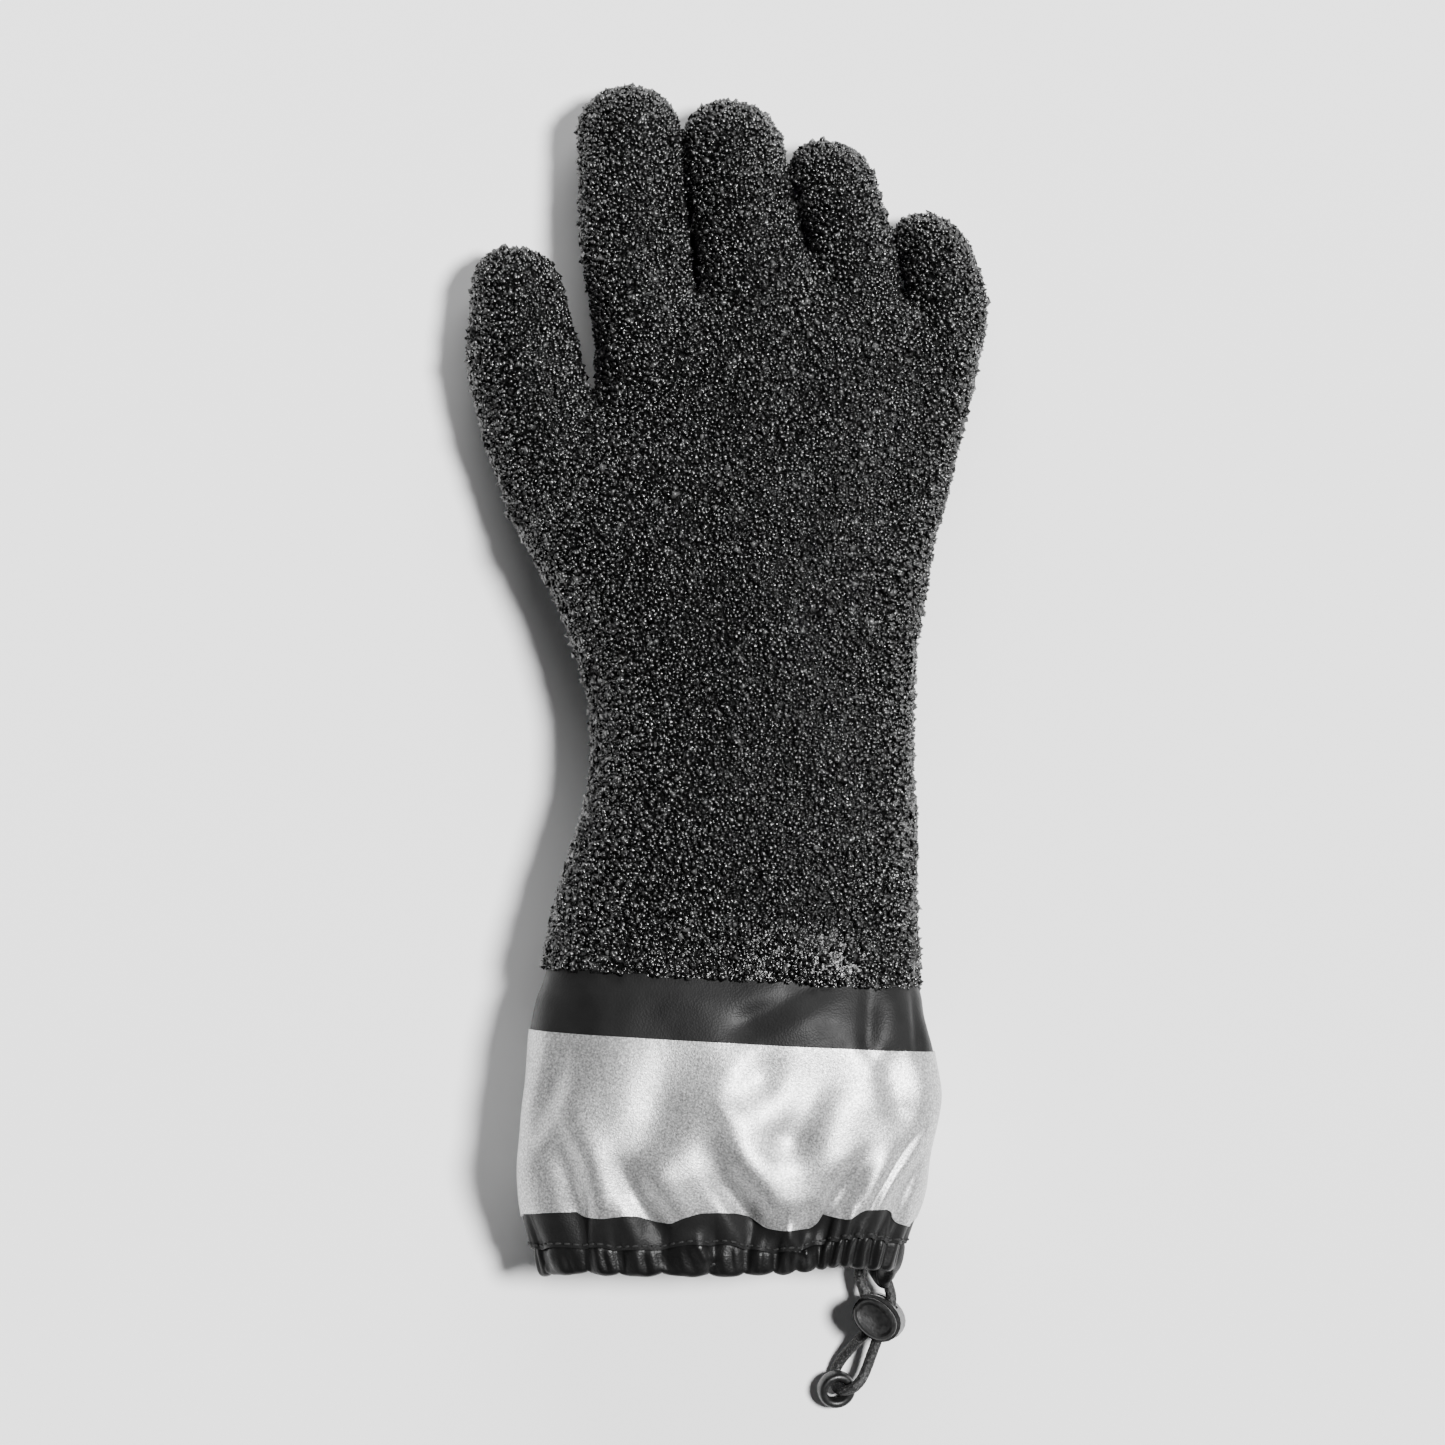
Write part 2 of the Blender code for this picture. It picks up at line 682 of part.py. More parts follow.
def solid_mesh(name, rings):
    """A solid through a stack of rings, capped at both ends."""
    bm = bmesh.new()
    stack = [[bm.verts.new(p * MM) for p in ring] for ring in rings]
    sides = len(rings[0])
    for low, high in zip(stack, stack[1:]):
        for k in range(sides):
            n = (k + 1) % sides
            bm.faces.new((low[k], low[n], high[n], high[k]))
    bm.faces.new(stack[0][::-1])
    bm.faces.new(stack[-1])
    bmesh.ops.recalc_face_normals(bm, faces=bm.faces)
    mesh = bpy.data.meshes.new(name)
    bm.to_mesh(mesh)
    bm.free()
    return mesh


def cup_mesh(name, outer, inner):
    """A cup: up the outside, over the rim and down the inside to its floor."""
    return solid_mesh(name, outer + inner[::-1])


def make_ring(parts):
    """The short bead on the end of the cord loop: a rounded wall turned about its hole."""
    bm = bmesh.new()
    verts = []
    for k in range(RING_PROFILE):
        angle = 2 * math.pi * k / RING_PROFILE
        x = RING_HOLE + RING_WALL / 2 * (1 + math.cos(angle))
        verts.append(bm.verts.new((x * MM, 0.0, -RING_LONG / 2 * math.sin(angle) * MM)))
    for a, b in zip(verts, verts[1:] + verts[:1]):
        bm.edges.new((a, b))
    mesh = bpy.data.meshes.new("cord_end_ring")
    bm.to_mesh(mesh)
    bm.free()
    obj = place("cord_end_ring", mesh, "plastic", parts)
    spin = obj.modifiers.new("spin", "SCREW")
    spin.steps = RING_SIDES
    spin.render_steps = RING_SIDES
    spin.use_merge_vertices = True
    spin.merge_threshold = 1e-5
    turn = Matrix.Rotation(math.radians(RING_RAISED), 4, "Z")
    tilt = Matrix.Rotation(math.radians(-RING_TILT), 4, "Y")
    obj.matrix_world = Matrix.Translation(Vector(RING) * MM) @ turn @ tilt


def make_joints(parts, root):
    """An empty on each hinge, which carries what turns there."""
    wrist = empty("wrist", (0.0, WRIST_Y, WRIST_Z), root, parts)
    carry(wrist, "palm_shell", "palm_liner")
    for name, (stations, joint_y, _) in FINGERS.items():
        knuckle_x = stations[0][1]
        joint_x = station_at(stations, joint_y)[0]
        knuckle = empty(name + "_knuckle", (knuckle_x, knuckle_line(knuckle_x), HINGE_Z), wrist, parts)
        carry(knuckle, name + "_base_shell", name + "_base_liner")
        joint = empty(name + "_joint", (joint_x, joint_y, HINGE_Z), knuckle, parts)
        carry(joint, name + "_tip_shell", name + "_tip_liner")
    (x0, y0), (x1, y1) = THUMB_LINE
    saddle = empty("thumb_saddle", ((x0 + x1) / 2, (y0 + y1) / 2, HINGE_Z), wrist, parts)
    carry(saddle, "thumb_base_shell", "thumb_base_liner")
    joint_x = station_at(THUMB, THUMB_JOINT_Y)[0]
    joint = empty("thumb_joint", (joint_x, THUMB_JOINT_Y, HINGE_Z), saddle, parts)
    carry(joint, "thumb_tip_shell", "thumb_tip_liner")


def main():
    clear_scene()
    parts = new_collection("cryogenic_glove")
    cutters = new_collection("cutters")
    root = empty("glove", (*CENTRE, 0.0), None, parts)
    make_gauntlet(parts)
    make_palm(parts, cutters)
    for name in FINGERS:
        make_finger(name, parts)
    make_thumb(parts)
    make_cuff(parts)
    make_hem(parts, cutters)
    make_threads(parts)
    make_cord(parts)
    make_lock(parts, cutters)
    make_ring(parts)
    make_joints(parts, root)
    for obj in [*parts.objects, *cutters.objects]:
        if obj.parent is None and obj != root:
            obj.parent = root


main()
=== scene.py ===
"""Looks of the insulated gauntlet glove: crumb coat, banded cuff, gathered hem, drawcord and lock.

Everything is in the row frame. Shapes are worked out in millimetres and scaled by MM where a mesh is made.
Outlines are read off the CAD shells, and the soft surfaces are drawn finer round them.
"""

import json
import math

import bpy
import numpy as np
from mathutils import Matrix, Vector, noise


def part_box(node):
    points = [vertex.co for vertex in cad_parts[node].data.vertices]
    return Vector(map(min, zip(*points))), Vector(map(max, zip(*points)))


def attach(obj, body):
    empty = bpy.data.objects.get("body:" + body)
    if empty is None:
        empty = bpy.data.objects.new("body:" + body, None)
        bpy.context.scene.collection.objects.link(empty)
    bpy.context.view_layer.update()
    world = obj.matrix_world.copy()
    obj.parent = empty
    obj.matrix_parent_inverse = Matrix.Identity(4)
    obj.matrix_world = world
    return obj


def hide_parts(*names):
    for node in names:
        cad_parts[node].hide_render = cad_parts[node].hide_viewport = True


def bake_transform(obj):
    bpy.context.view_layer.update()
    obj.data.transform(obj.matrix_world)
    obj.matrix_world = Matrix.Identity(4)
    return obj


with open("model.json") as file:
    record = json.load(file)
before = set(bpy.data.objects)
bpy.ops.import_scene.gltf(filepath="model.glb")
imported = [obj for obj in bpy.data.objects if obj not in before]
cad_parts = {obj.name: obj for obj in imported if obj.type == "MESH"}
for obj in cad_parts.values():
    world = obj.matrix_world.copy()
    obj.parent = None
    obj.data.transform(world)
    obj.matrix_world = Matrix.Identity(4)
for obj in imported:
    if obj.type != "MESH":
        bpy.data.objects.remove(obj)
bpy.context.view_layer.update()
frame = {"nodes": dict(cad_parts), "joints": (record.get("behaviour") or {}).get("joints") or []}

MM = 0.001
SEED = 7
noise.seed_set(SEED)  # unseeded, its vectors hang on the clock
JOINTS = {joint["name"]: joint for joint in frame["joints"]}
FINGERS = ("index", "middle", "ring", "little")


# ---------------- camera, lights and floor

VIEW_CENTRE = (-0.0016, -0.0127, 0.025)  # metres, the middle of the picture at the glove's half height
VIEW_WIDTH = 0.4841
VIEW_LENS = 200.0
SENSOR = 36.0
KEY_FROM = (0.5, 0.1, 1.0)  # the direction in which the key light stands
KEY_STRENGTH = 8.5
KEY_WIDTH = 13.0  # degrees across, seen from the glove
SOFTBOXES = {  # place in metres, width, length, watts
    "head": ((0.1, 1.5, 0.95), 1.4, 0.6, 22.0),
    "fill": ((-1.2, -0.7, 0.8), 1.0, 1.0, 1.2),
}
SURROUND_TINT = (0.95, 0.96, 1.0, 1.0)
SURROUND = 0.045  # its strength as a light
BACKDROP = 1.9  # its strength where the camera looks past the floor
FLOOR_SIZE = 24.0
FLOOR_Z = -0.0006
FLOOR_GREY = 0.93
MOTTLE = 0.985  # the floor's darker patches, as a share of its grey


def placed(name, data):
    """A new object in the scene that shows data."""
    made = bpy.data.objects.new(name, data)
    bpy.context.scene.collection.objects.link(made)
    return made


def make_camera():
    data = bpy.data.cameras.new("camera")
    data.lens = VIEW_LENS
    data.sensor_width = SENSOR
    camera = placed("camera", data)
    distance = VIEW_WIDTH * VIEW_LENS / SENSOR
    camera.location = (VIEW_CENTRE[0], VIEW_CENTRE[1], VIEW_CENTRE[2] + distance)
    bpy.context.scene.camera = camera


def area_light(name, place, size, length, power):
    """A rectangular softbox that faces the middle of the glove."""
    data = bpy.data.lights.new(name, "AREA")
    data.shape = "RECTANGLE"
    data.size = size
    data.size_y = length
    data.energy = power
    light = placed(name, data)
    light.location = place
    light.rotation_euler = (Vector(VIEW_CENTRE) - Vector(place)).to_track_quat("-Z", "Y").to_euler()


def key_light():
    """A broad far light from the right, so that the floor is as bright far off as it is near."""
    data = bpy.data.lights.new("key", "SUN")
    data.energy = KEY_STRENGTH
    data.angle = math.radians(KEY_WIDTH)
    light = placed("key", data)
    light.rotation_euler = Vector(KEY_FROM).to_track_quat("Z", "Y").to_euler()


def make_world():
    """A dim surround, so that black stays black, in front of a pale backdrop."""
    world = bpy.data.worlds.new("studio")
    bpy.context.scene.world = world
    world.use_nodes = True
    tree = world.node_tree
    surround = tree.nodes["Background"]
    surround.inputs["Color"].default_value = SURROUND_TINT
    surround.inputs["Strength"].default_value = SURROUND
    backdrop = tree.nodes.new("ShaderNodeBackground")
    backdrop.inputs["Strength"].default_value = BACKDROP
    path = tree.nodes.new("ShaderNodeLightPath")
    choice = tree.nodes.new("ShaderNodeMixShader")
    tree.links.new(path.outputs["Is Camera Ray"], choice.inputs[0])
    tree.links.new(surround.outputs["Background"], choice.inputs[1])
    tree.links.new(backdrop.outputs["Background"], choice.inputs[2])
    tree.links.new(choice.outputs["Shader"], tree.nodes["World Output"].inputs["Surface"])


def make_studio():
    key_light()
    for name, light in SOFTBOXES.items():
        area_light(name, *light)
    make_world()
    bpy.ops.mesh.primitive_plane_add(size=FLOOR_SIZE, location=(0.0, 0.0, FLOOR_Z))
    floor = bpy.context.object
    floor.name = "floor"
    floor.data.materials.append(floor_finish())


# ---------------- finishes


class Finish:
    """Builds one node material around its Principled shader."""

    def __init__(self, name, colour, roughness, **sockets):
        self.material = bpy.data.materials.new(name)
        self.material.use_nodes = True
        self.tree = self.material.node_tree
        self.shader = self.tree.nodes["Principled BSDF"]
        self.shader.inputs["Base Color"].default_value = (*colour, 1.0)
        self.shader.inputs["Roughness"].default_value = roughness
        for socket, value in sockets.items():
            self.shader.inputs[socket.replace("_", " ")].default_value = value
        self.place = self.node("ShaderNodeTexCoord").outputs["Object"]
        self.height = None

    def node(self, kind, **settings):
        made = self.tree.nodes.new(kind)
        for key, value in settings.items():
            setattr(made, key, value)
        return made

    def link(self, source, target):
        self.tree.links.new(source, target)

    def noise(self, size, detail=2.0, stretch=None):
        """A noise whose grains are about size metres across."""
        made = self.node("ShaderNodeTexNoise")
        made.inputs["Scale"].default_value = 1.0 / size
        made.inputs["Detail"].default_value = detail
        source = self.place
        if stretch is not None:
            mapping = self.node("ShaderNodeMapping")
            mapping.inputs["Scale"].default_value = stretch
            self.link(source, mapping.inputs["Vector"])
            source = mapping.outputs["Vector"]
        self.link(source, made.inputs["Vector"])
        return made.outputs["Fac"]

    def cells(self, size):
        """Distances in cells about size metres across."""
        made = self.node("ShaderNodeTexVoronoi")
        made.inputs["Scale"].default_value = 1.0 / size
        self.link(self.place, made.inputs["Vector"])
        return made.outputs["Distance"]

    def island(self):
        """A number from 0 to 1 that each loose part of the mesh has for itself."""
        return self.node("ShaderNodeNewGeometry").outputs["Random Per Island"]

    def along_arm(self):
        """The place along Y, in metres."""
        made = self.node("ShaderNodeSeparateXYZ")
        self.link(self.place, made.inputs["Vector"])
        return made.outputs["Y"]

    def ramp(self, source, stops):
        """The colour or grey that stops of (place, value) give for source."""
        made = self.node("ShaderNodeValToRGB")
        elements = made.color_ramp.elements
        for k, (where, value) in enumerate(stops):
            stop = elements[k] if k < 2 else elements.new(where)
            stop.position = where
            stop.color = (*value, 1.0) if hasattr(value, "__len__") else (value, value, value, 1.0)
        self.link(source, made.inputs["Fac"])
        return made.outputs["Color"]

    def spread(self, source, low, high, near=0.3, far=0.7):
        """source, taken from near..far to low..high."""
        made = self.node("ShaderNodeMapRange")
        made.inputs["From Min"].default_value = near
        made.inputs["From Max"].default_value = far
        made.inputs["To Min"].default_value = low
        made.inputs["To Max"].default_value = high
        self.link(source, made.inputs["Value"])
        return made.outputs["Result"]

    def mixed(self, share, first, second, blend="MIX"):
        """Two colours blended; each input is a socket or a number."""
        made = self.node("ShaderNodeMix", data_type="RGBA", blend_type=blend)
        for source, slot in ((share, 0), (first, 6), (second, 7)):
            if hasattr(source, "is_output"):
                self.link(source, made.inputs[slot])
            else:
                made.inputs[slot].default_value = source
        return made.outputs[2]

    def mottle(self, size, detail, low, high):
        """Patches about size metres across, from a low to a high colour or grey."""
        self.colour(self.ramp(self.noise(size, detail), ((0.3, low), (0.7, high))))

    def grain(self, size, detail, depth):
        """Relief about depth metres deep of grains about size metres across."""
        self.bump(self.noise(size, detail), depth)

    def colour(self, source):
        self.link(source, self.shader.inputs["Base Color"])

    def roughness(self, source):
        self.link(source, self.shader.inputs["Roughness"])

    def shine(self, source):
        self.link(source, self.shader.inputs["Specular IOR Level"])

    def bump(self, source, depth):
        """Adds relief of about depth metres to what is there already."""
        made = self.node("ShaderNodeBump")
        made.inputs["Strength"].default_value = 1.0
        made.inputs["Distance"].default_value = depth
        self.link(source, made.inputs["Height"])
        if self.height is not None:
            self.link(self.height, made.inputs["Normal"])
        self.height = made.outputs["Normal"]
        self.link(self.height, self.shader.inputs["Normal"])


def floor_finish():
    """Pale, with a faint mottle."""
    finish = Finish("floor", (FLOOR_GREY, FLOOR_GREY, FLOOR_GREY), 0.7)
    finish.colour(finish.ramp(finish.noise(0.25), ((0.35, FLOOR_GREY * MOTTLE), (0.65, FLOOR_GREY))))
    return finish.material


def pvc_finish():
    """The coat under the crumbs: dull between them, and wet-looking near the cuff, where it lies bare."""
    finish = Finish("pvc_coat", (0.003, 0.003, 0.003), 0.2)
    finish.mottle(0.004, 2.0, 0.001, 0.003)
    finish.roughness(finish.spread(finish.noise(0.006), 0.18, 0.34))
    finish.shine(finish.spread(finish.along_arm(), 0.5, 0.07, -0.095, -0.078))
    finish.grain(0.0035, 3.0, 0.0012)
    finish.grain(0.0015, 2.0, 0.0006)
    return finish.material


def crumb_finish():
    """Cut PVC granules: each has its own grey and gloss, and a fine speckle."""
    finish = Finish("pvc_crumb", (0.02, 0.02, 0.021), 0.4, Specular_IOR_Level=0.9)
    tone = finish.island()
    greys = finish.ramp(tone, ((0.0, 0.0003), (0.5, 0.0018), (0.85, 0.012), (1.0, 0.075)))
    speck = finish.ramp(finish.noise(0.0006, 3.0), ((0.35, 0.55), (0.7, 1.0)))
    finish.colour(finish.mixed(1.0, greys, speck, "MULTIPLY"))
    finish.roughness(finish.ramp(tone, ((0.0, 0.32), (0.5, 0.27), (0.7, 0.15), (1.0, 0.11))))
    finish.grain(0.00045, 2.0, 0.0001)
    return finish.material


def pile_finish():
    """Knitted pile lining: soft, pale loops."""
    finish = Finish("pile", (0.55, 0.53, 0.49), 0.95)
    tufts = finish.noise(0.0025, 4.0)
    finish.colour(finish.ramp(tufts, ((0.25, (0.36, 0.345, 0.32)), (0.75, (0.66, 0.64, 0.6)))))
    finish.bump(finish.cells(0.0016), 0.0008)
    finish.grain(0.0005, 3.0, 0.0002)
    return finish.material


def cloth_finish(name="coated_cloth", grey=0.008, gloss=(0.44, 0.56), shine=0.16):
    """Cloth under a thin PU coat: satin, with a fine grain and faint rubbed patches."""
    finish = Finish(name, (grey, grey, grey), gloss[0], Specular_IOR_Level=shine)
    finish.mottle(0.012, 4.0, grey * 0.75, grey * 1.25)
    finish.roughness(finish.spread(finish.noise(0.008, 3.0), *gloss))
    finish.bump(finish.cells(0.0007), 0.00006)
    finish.grain(0.009, 2.0, 0.00012)
    return finish.material


def backing_finish():
    """The sleeve's uncoated inner face: a plain weave."""
    finish = Finish("cloth_backing", (0.05, 0.05, 0.052), 0.85)
    threads = finish.noise(0.0006, 2.0, (1.0, 0.22, 1.0))
    across = finish.noise(0.0006, 2.0, (0.22, 1.0, 0.22))
    first, second = (finish.ramp(grain, ((0.3, 0.02), (0.7, 0.09))) for grain in (threads, across))
    finish.colour(finish.mixed(0.5, first, second))
    finish.bump(threads, 0.00012)
    finish.bump(across, 0.00012)
    return finish.material


def reflector_finish():
    """Bead-coated reflective tape: light grey with a fine sparkle."""
    finish = Finish("reflector", (0.5, 0.5, 0.5), 0.5, Metallic=0.85)
    grain = finish.ramp(finish.noise(0.0007, 4.0), ((0.3, 0.26), (0.5, 0.52), (0.7, 0.86)))
    cloud = finish.ramp(finish.noise(0.02, 3.0), ((0.3, 0.9), (0.7, 1.0)))
    finish.colour(finish.mixed(1.0, grain, cloud, "MULTIPLY"))
    finish.roughness(finish.spread(finish.noise(0.0005), 0.4, 0.52))
    finish.grain(0.00045, 2.0, 0.00011)
    return finish.material


def tape_finish():
    finish = Finish("bond", (0.05, 0.05, 0.048), 0.6)
    finish.mottle(0.003, 3.0, 0.03, 0.07)
    finish.grain(0.0015, 3.0, 0.0002)
    return finish.material


def thread_finish():
    finish = Finish("thread", (0.006, 0.006, 0.006), 0.7)
    finish.mottle(0.0004, 2.0, 0.002, 0.007)
    finish.bump(finish.noise(0.0002, 1.0, (1.0, 3.0, 1.0)), 0.00008)
    return finish.material


def cord_finish():
    """Braided polyester: dull black, with pale flecks painted into its colour as highlights where strands
    catch the light.
    """
    finish = Finish("braid", (0.014, 0.014, 0.014), 0.6)
    painted_glint_fleck = finish.noise(0.00055, 2.0)
    # painted highlight: the pale flecks in the base colour stand for light caught by the strands, and the
    # same noise sets the roughness
    finish.colour(finish.ramp(painted_glint_fleck, ((0.35, 0.002), (0.55, 0.007), (0.72, 0.09))))
    finish.roughness(finish.spread(painted_glint_fleck, 0.45, 0.75))
    finish.grain(0.0003, 2.0, 0.00012)
    return finish.material


def plastic_finish():
    """Moulded black plastic with a fine spark-eroded texture."""
    finish = Finish("moulded", (0.018, 0.018, 0.019), 0.34)
    finish.mottle(0.0022, 4.0, 0.003, 0.009)
    finish.roughness(finish.spread(finish.noise(0.0012, 3.0), 0.3, 0.5))
    finish.grain(0.0004, 2.0, 0.00005)
    return finish.material


def steel_finish():
    finish = Finish("spring_steel", (0.6, 0.6, 0.6), 0.3, Metallic=1.0)
    finish.roughness(finish.spread(finish.noise(0.0004, 2.0, (0.2, 0.2, 1.0)), 0.2, 0.42))
    return finish.material


# ---------------- mesh helpers


def mesh_object(name, points, faces, finish, smooth=True):
    """An object from points in mm and an array of faces with one number of corners."""
    faces = np.asarray(faces, np.int32)
    mesh = bpy.data.meshes.new(name)
    mesh.vertices.add(len(points))
    mesh.vertices.foreach_set("co", (np.asarray(points) * MM).astype(np.float32).ravel())
    mesh.loops.add(faces.size)
    mesh.loops.foreach_set("vertex_index", faces.ravel())
    mesh.polygons.add(len(faces))
    mesh.polygons.foreach_set("loop_start", np.arange(0, faces.size, faces.shape[1], dtype=np.int32))
    mesh.update(calc_edges=True)
    if smooth:
        mesh.shade_smooth()
    mesh.materials.append(finish)
    return placed(name, mesh)


def settled(obj):
    """Applies the modifiers of an object."""
    graph = bpy.context.evaluated_depsgraph_get()
    mesh = bpy.data.meshes.new_from_object(obj.evaluated_get(graph))
    obj.modifiers.clear()
    obj.data = mesh
    mesh.name = obj.name
    return obj


def mesh_points(mesh):
    """(count, 3) points of a mesh, in mm."""
    points = np.empty(len(mesh.vertices) * 3)
    mesh.vertices.foreach_get("co", points)
    return points.reshape(-1, 3) / MM


def edge_ends(mesh):
    """(count, 2) numbers of the points that a mesh's edges join."""
    ends = np.empty(len(mesh.edges) * 2, int)
    mesh.edges.foreach_get("vertices", ends)
    return ends.reshape(-1, 2)


def grid_quads(rows, columns):
    """Quads of a grid of rows by columns, whose last column joins the first."""
    across = np.arange(columns)
    start = (np.arange(rows - 1)[:, None] * columns + across).ravel()
    beside = (np.arange(rows - 1)[:, None] * columns + (across + 1) % columns).ravel()
    return np.stack([start, beside, beside + columns, start + columns], 1)


def loop_quads(rows, columns):
    """Quads of a grid whose last row joins the first as well."""
    last = grid_quads(2, columns)
    last = np.where(last >= columns, last - columns, last + (rows - 1) * columns)
    return np.concatenate([grid_quads(rows, columns), last])


def capped(rings):
    """(points, side quads, end triangles) of a stack of rings, closed to the middle of each end ring."""
    rings = np.asarray(rings, float)
    count = rings.shape[1]
    points = np.concatenate([rings.reshape(-1, 3), [rings[0].mean(0)], [rings[-1].mean(0)]])
    sides = grid_quads(len(rings), count)
    k = np.arange(count)
    first = np.stack([(k + 1) % count, k, np.full(count, len(points) - 2)], 1)
    top = (len(rings) - 1) * count
    last = np.stack([top + k, top + (k + 1) % count, np.full(count, len(points) - 1)], 1)
    return points, sides, np.concatenate([first, last])


def stacked_object(name, stacks, finish=None):
    """One object of closed solids, each through its own stack of rings."""
    points, faces = [], []
    for stack in stacks:
        spots, sides, ends = capped(stack)
        start = sum(map(len, points))
        faces += (sides + start).tolist() + (ends + start).tolist()
        points.append(spots)
    mesh = bpy.data.meshes.new(name)
    mesh.from_pydata((np.concatenate(points) * MM).tolist(), [], faces)
    mesh.shade_smooth()
    if finish is not None:
        mesh.materials.append(finish)
    return placed(name, mesh)


def oval(count, half_x, half_z, power):
    """(count, 2) points of a superellipse, from +X over the top."""
    angle = 2 * np.pi * np.arange(count) / count
    c = np.cos(angle)
    s = np.sin(angle)
    x = half_x * np.sign(c) * np.abs(c) ** (2 / power)
    z = half_z * np.sign(s) * np.abs(s) ** (2 / power)
    return np.stack([x, z], 1)


def smoothed(values, width):
    """values averaged with a bell of that many samples, its ends held."""
    reach = int(width * 3)
    weights = np.exp(-0.5 * (np.arange(-reach, reach + 1) / width) ** 2)
    padded = np.pad(values, reach, mode="reflect", reflect_type="odd")
    return np.convolve(padded, weights / weights.sum(), mode="valid")


def averaged(values, weights):
    """values of a closed line, each averaged with its neighbours."""
    return np.convolve(np.pad(values, len(weights) // 2, mode="wrap"), weights, mode="valid")


def travel(points):
    """How far along a line each of its points is."""
    steps = np.linalg.norm(np.diff(points, axis=0), axis=1)
    return np.concatenate([[0.0], np.cumsum(steps)])


def ease(value, low, high):
    """0 below low, 1 above high, with a soft step between."""
    share = np.clip((value - low) / (high - low), 0, 1)
    return share * share * (3 - 2 * share)


# ---------------- outlines, read off the CAD shells


def section(node, y):
    """(left, right, low, high) of a CAD node cut at y."""
    mesh = frame["nodes"][node].data
    ends = mesh_points(mesh)[edge_ends(mesh)]
    crossing = (ends[:, 0, 1] - y) * (ends[:, 1, 1] - y) < 0
    first = ends[crossing, 0]
    second = ends[crossing, 1]
    share = (y - first[:, 1]) / (second[:, 1] - first[:, 1])
    points = first + (second - first) * share[:, None]
    return points[:, 0].min(), points[:, 0].max(), points[:, 2].min(), points[:, 2].max()


FLOOR_DIP = 1.5  # a tube's oval reaches this far under the floor, where it is cut off flat


class Outline:
    """left, right and top of the flattened tube along Y, smooth between the places where it was read."""

    STEP = 1.0

    def __init__(self, reads, width):
        rows = sorted((y, *section(node, y)) for node, ys in reads for y in ys)
        table = np.array(rows)
        self.ys = np.arange(table[0, 0] - 30.0, table[-1, 0] + 30.0, self.STEP)
        self.sides = [smoothed(np.interp(self.ys, table[:, 0], table[:, k]), width) for k in (1, 2, 4)]

    def at(self, y):
        return [np.interp(y, self.ys, side) for side in self.sides]

    def ring(self, y, inset, count=120, power=2.6):
        """A cross-section, inset from the outer face and flat where it lies."""
        left, right, top = self.at(y)
        points = oval(count, (right - left) / 2 - inset, (top + FLOOR_DIP) / 2 - inset, power)
        z = np.maximum(points[:, 1] + (top - FLOOR_DIP) / 2, inset)
        return np.stack([points[:, 0] + (left + right) / 2, np.full(count, float(y)), z], 1)


ARM_READS = ("gauntlet_shell", np.arange(-92.0, -23.0, 3.0))
PALM_READS = ("palm_shell", np.arange(-8.0, 101.0, 3.0))
HAND = Outline((ARM_READS, PALM_READS), 4.0)
CUFF = Outline(
    (
        ("gauntlet_shell", (-88.0, -94.0)),
        ("reflective_band", np.arange(-119.5, -176.0, -3.0)),
        ("hem_channel", (-190.0, -194.0, -197.0)),
    ),
    3.0,
)


# ---------------- the hand's solid

COAT_INSET = 0.7  # the coat's face lies this far inside the outline read off the CAD
ARM_START_Y = -124.0
PALM_END_Y = 100.0
WEBS = ((-10.2, 131.8), (27.0, 145.8), (59.5, 128.8))  # the bottoms of the gaps between fingers
OUTER_ROOTS = ((-46.5, 127.5), (87.5, 119.0))  # where the first and last finger leave the palm's edge
GAP_LEANS = (-0.087, -0.206, -0.157)  # how each gap drifts in X along Y
THUMB_WEB = (-43.7, 97.7)
THUMB_GAP_LEAN = -0.19
FINGER_LOW = 1.6
FINGER_ROWS = {  # (y, left, right, top) up each finger, from inside the palm to where its tip rounds off
    "index": (
        (103.0, -41.5, -9.0, 41.0), (128.8, -46.0, -11.2, 38.5),
        (144.8, -49.0, -12.2, 37.0), (184.0, -50.1, -15.7, 33.0),
    ),
    "middle": (
        (110.0, -8.0, 30.0, 40.5), (131.8, -9.0, 28.0, 38.8),
        (145.8, -10.3, 25.9, 37.6), (180.0, -14.3, 18.8, 33.0),
    ),
    "ring": (
        (110.0, 29.0, 62.0, 39.5), (128.8, 29.5, 58.5, 37.0),
        (145.8, 27.7, 56.1, 35.4), (168.0, 21.9, 50.4, 31.6),
    ),
    "little": (
        (96.0, 58.0, 81.5, 38.0), (112.8, 60.0, 84.6, 35.6),
        (124.8, 61.0, 87.2, 33.4), (136.8, 59.4, 85.4, 31.6),
        (146.0, 56.7, 82.0, 29.6),
    ),
}
THUMB_ROWS = (  # (y, left, right, low, top) up the thumb, from inside the palm
    (46.0, -66.5, -14.0, 2.0, 38.0), (57.0, -73.2, -20.0, 2.0, 38.0),
    (67.0, -76.2, -27.0, 2.2, 37.0), (78.0, -80.0, -34.0, 2.4, 35.6),
    (87.0, -83.0, -40.5, 2.6, 34.8), (97.0, -85.2, -45.4, 2.6, 34.6),
    (109.0, -87.6, -48.9, 2.6, 34.4), (118.0, -87.3, -51.8, 2.6, 33.4),
    (131.5, -85.8, -55.6, 2.6, 31.4),
)
FINGER_POWER = 2.25
TIP_POWER = 2.15
SKIN_WANDER = 24.0  # size in mm of the skin's soft unevenness
SKIN_STRAY = 0.7
EDGES = (OUTER_ROOTS[0], *WEBS, OUTER_ROOTS[1])


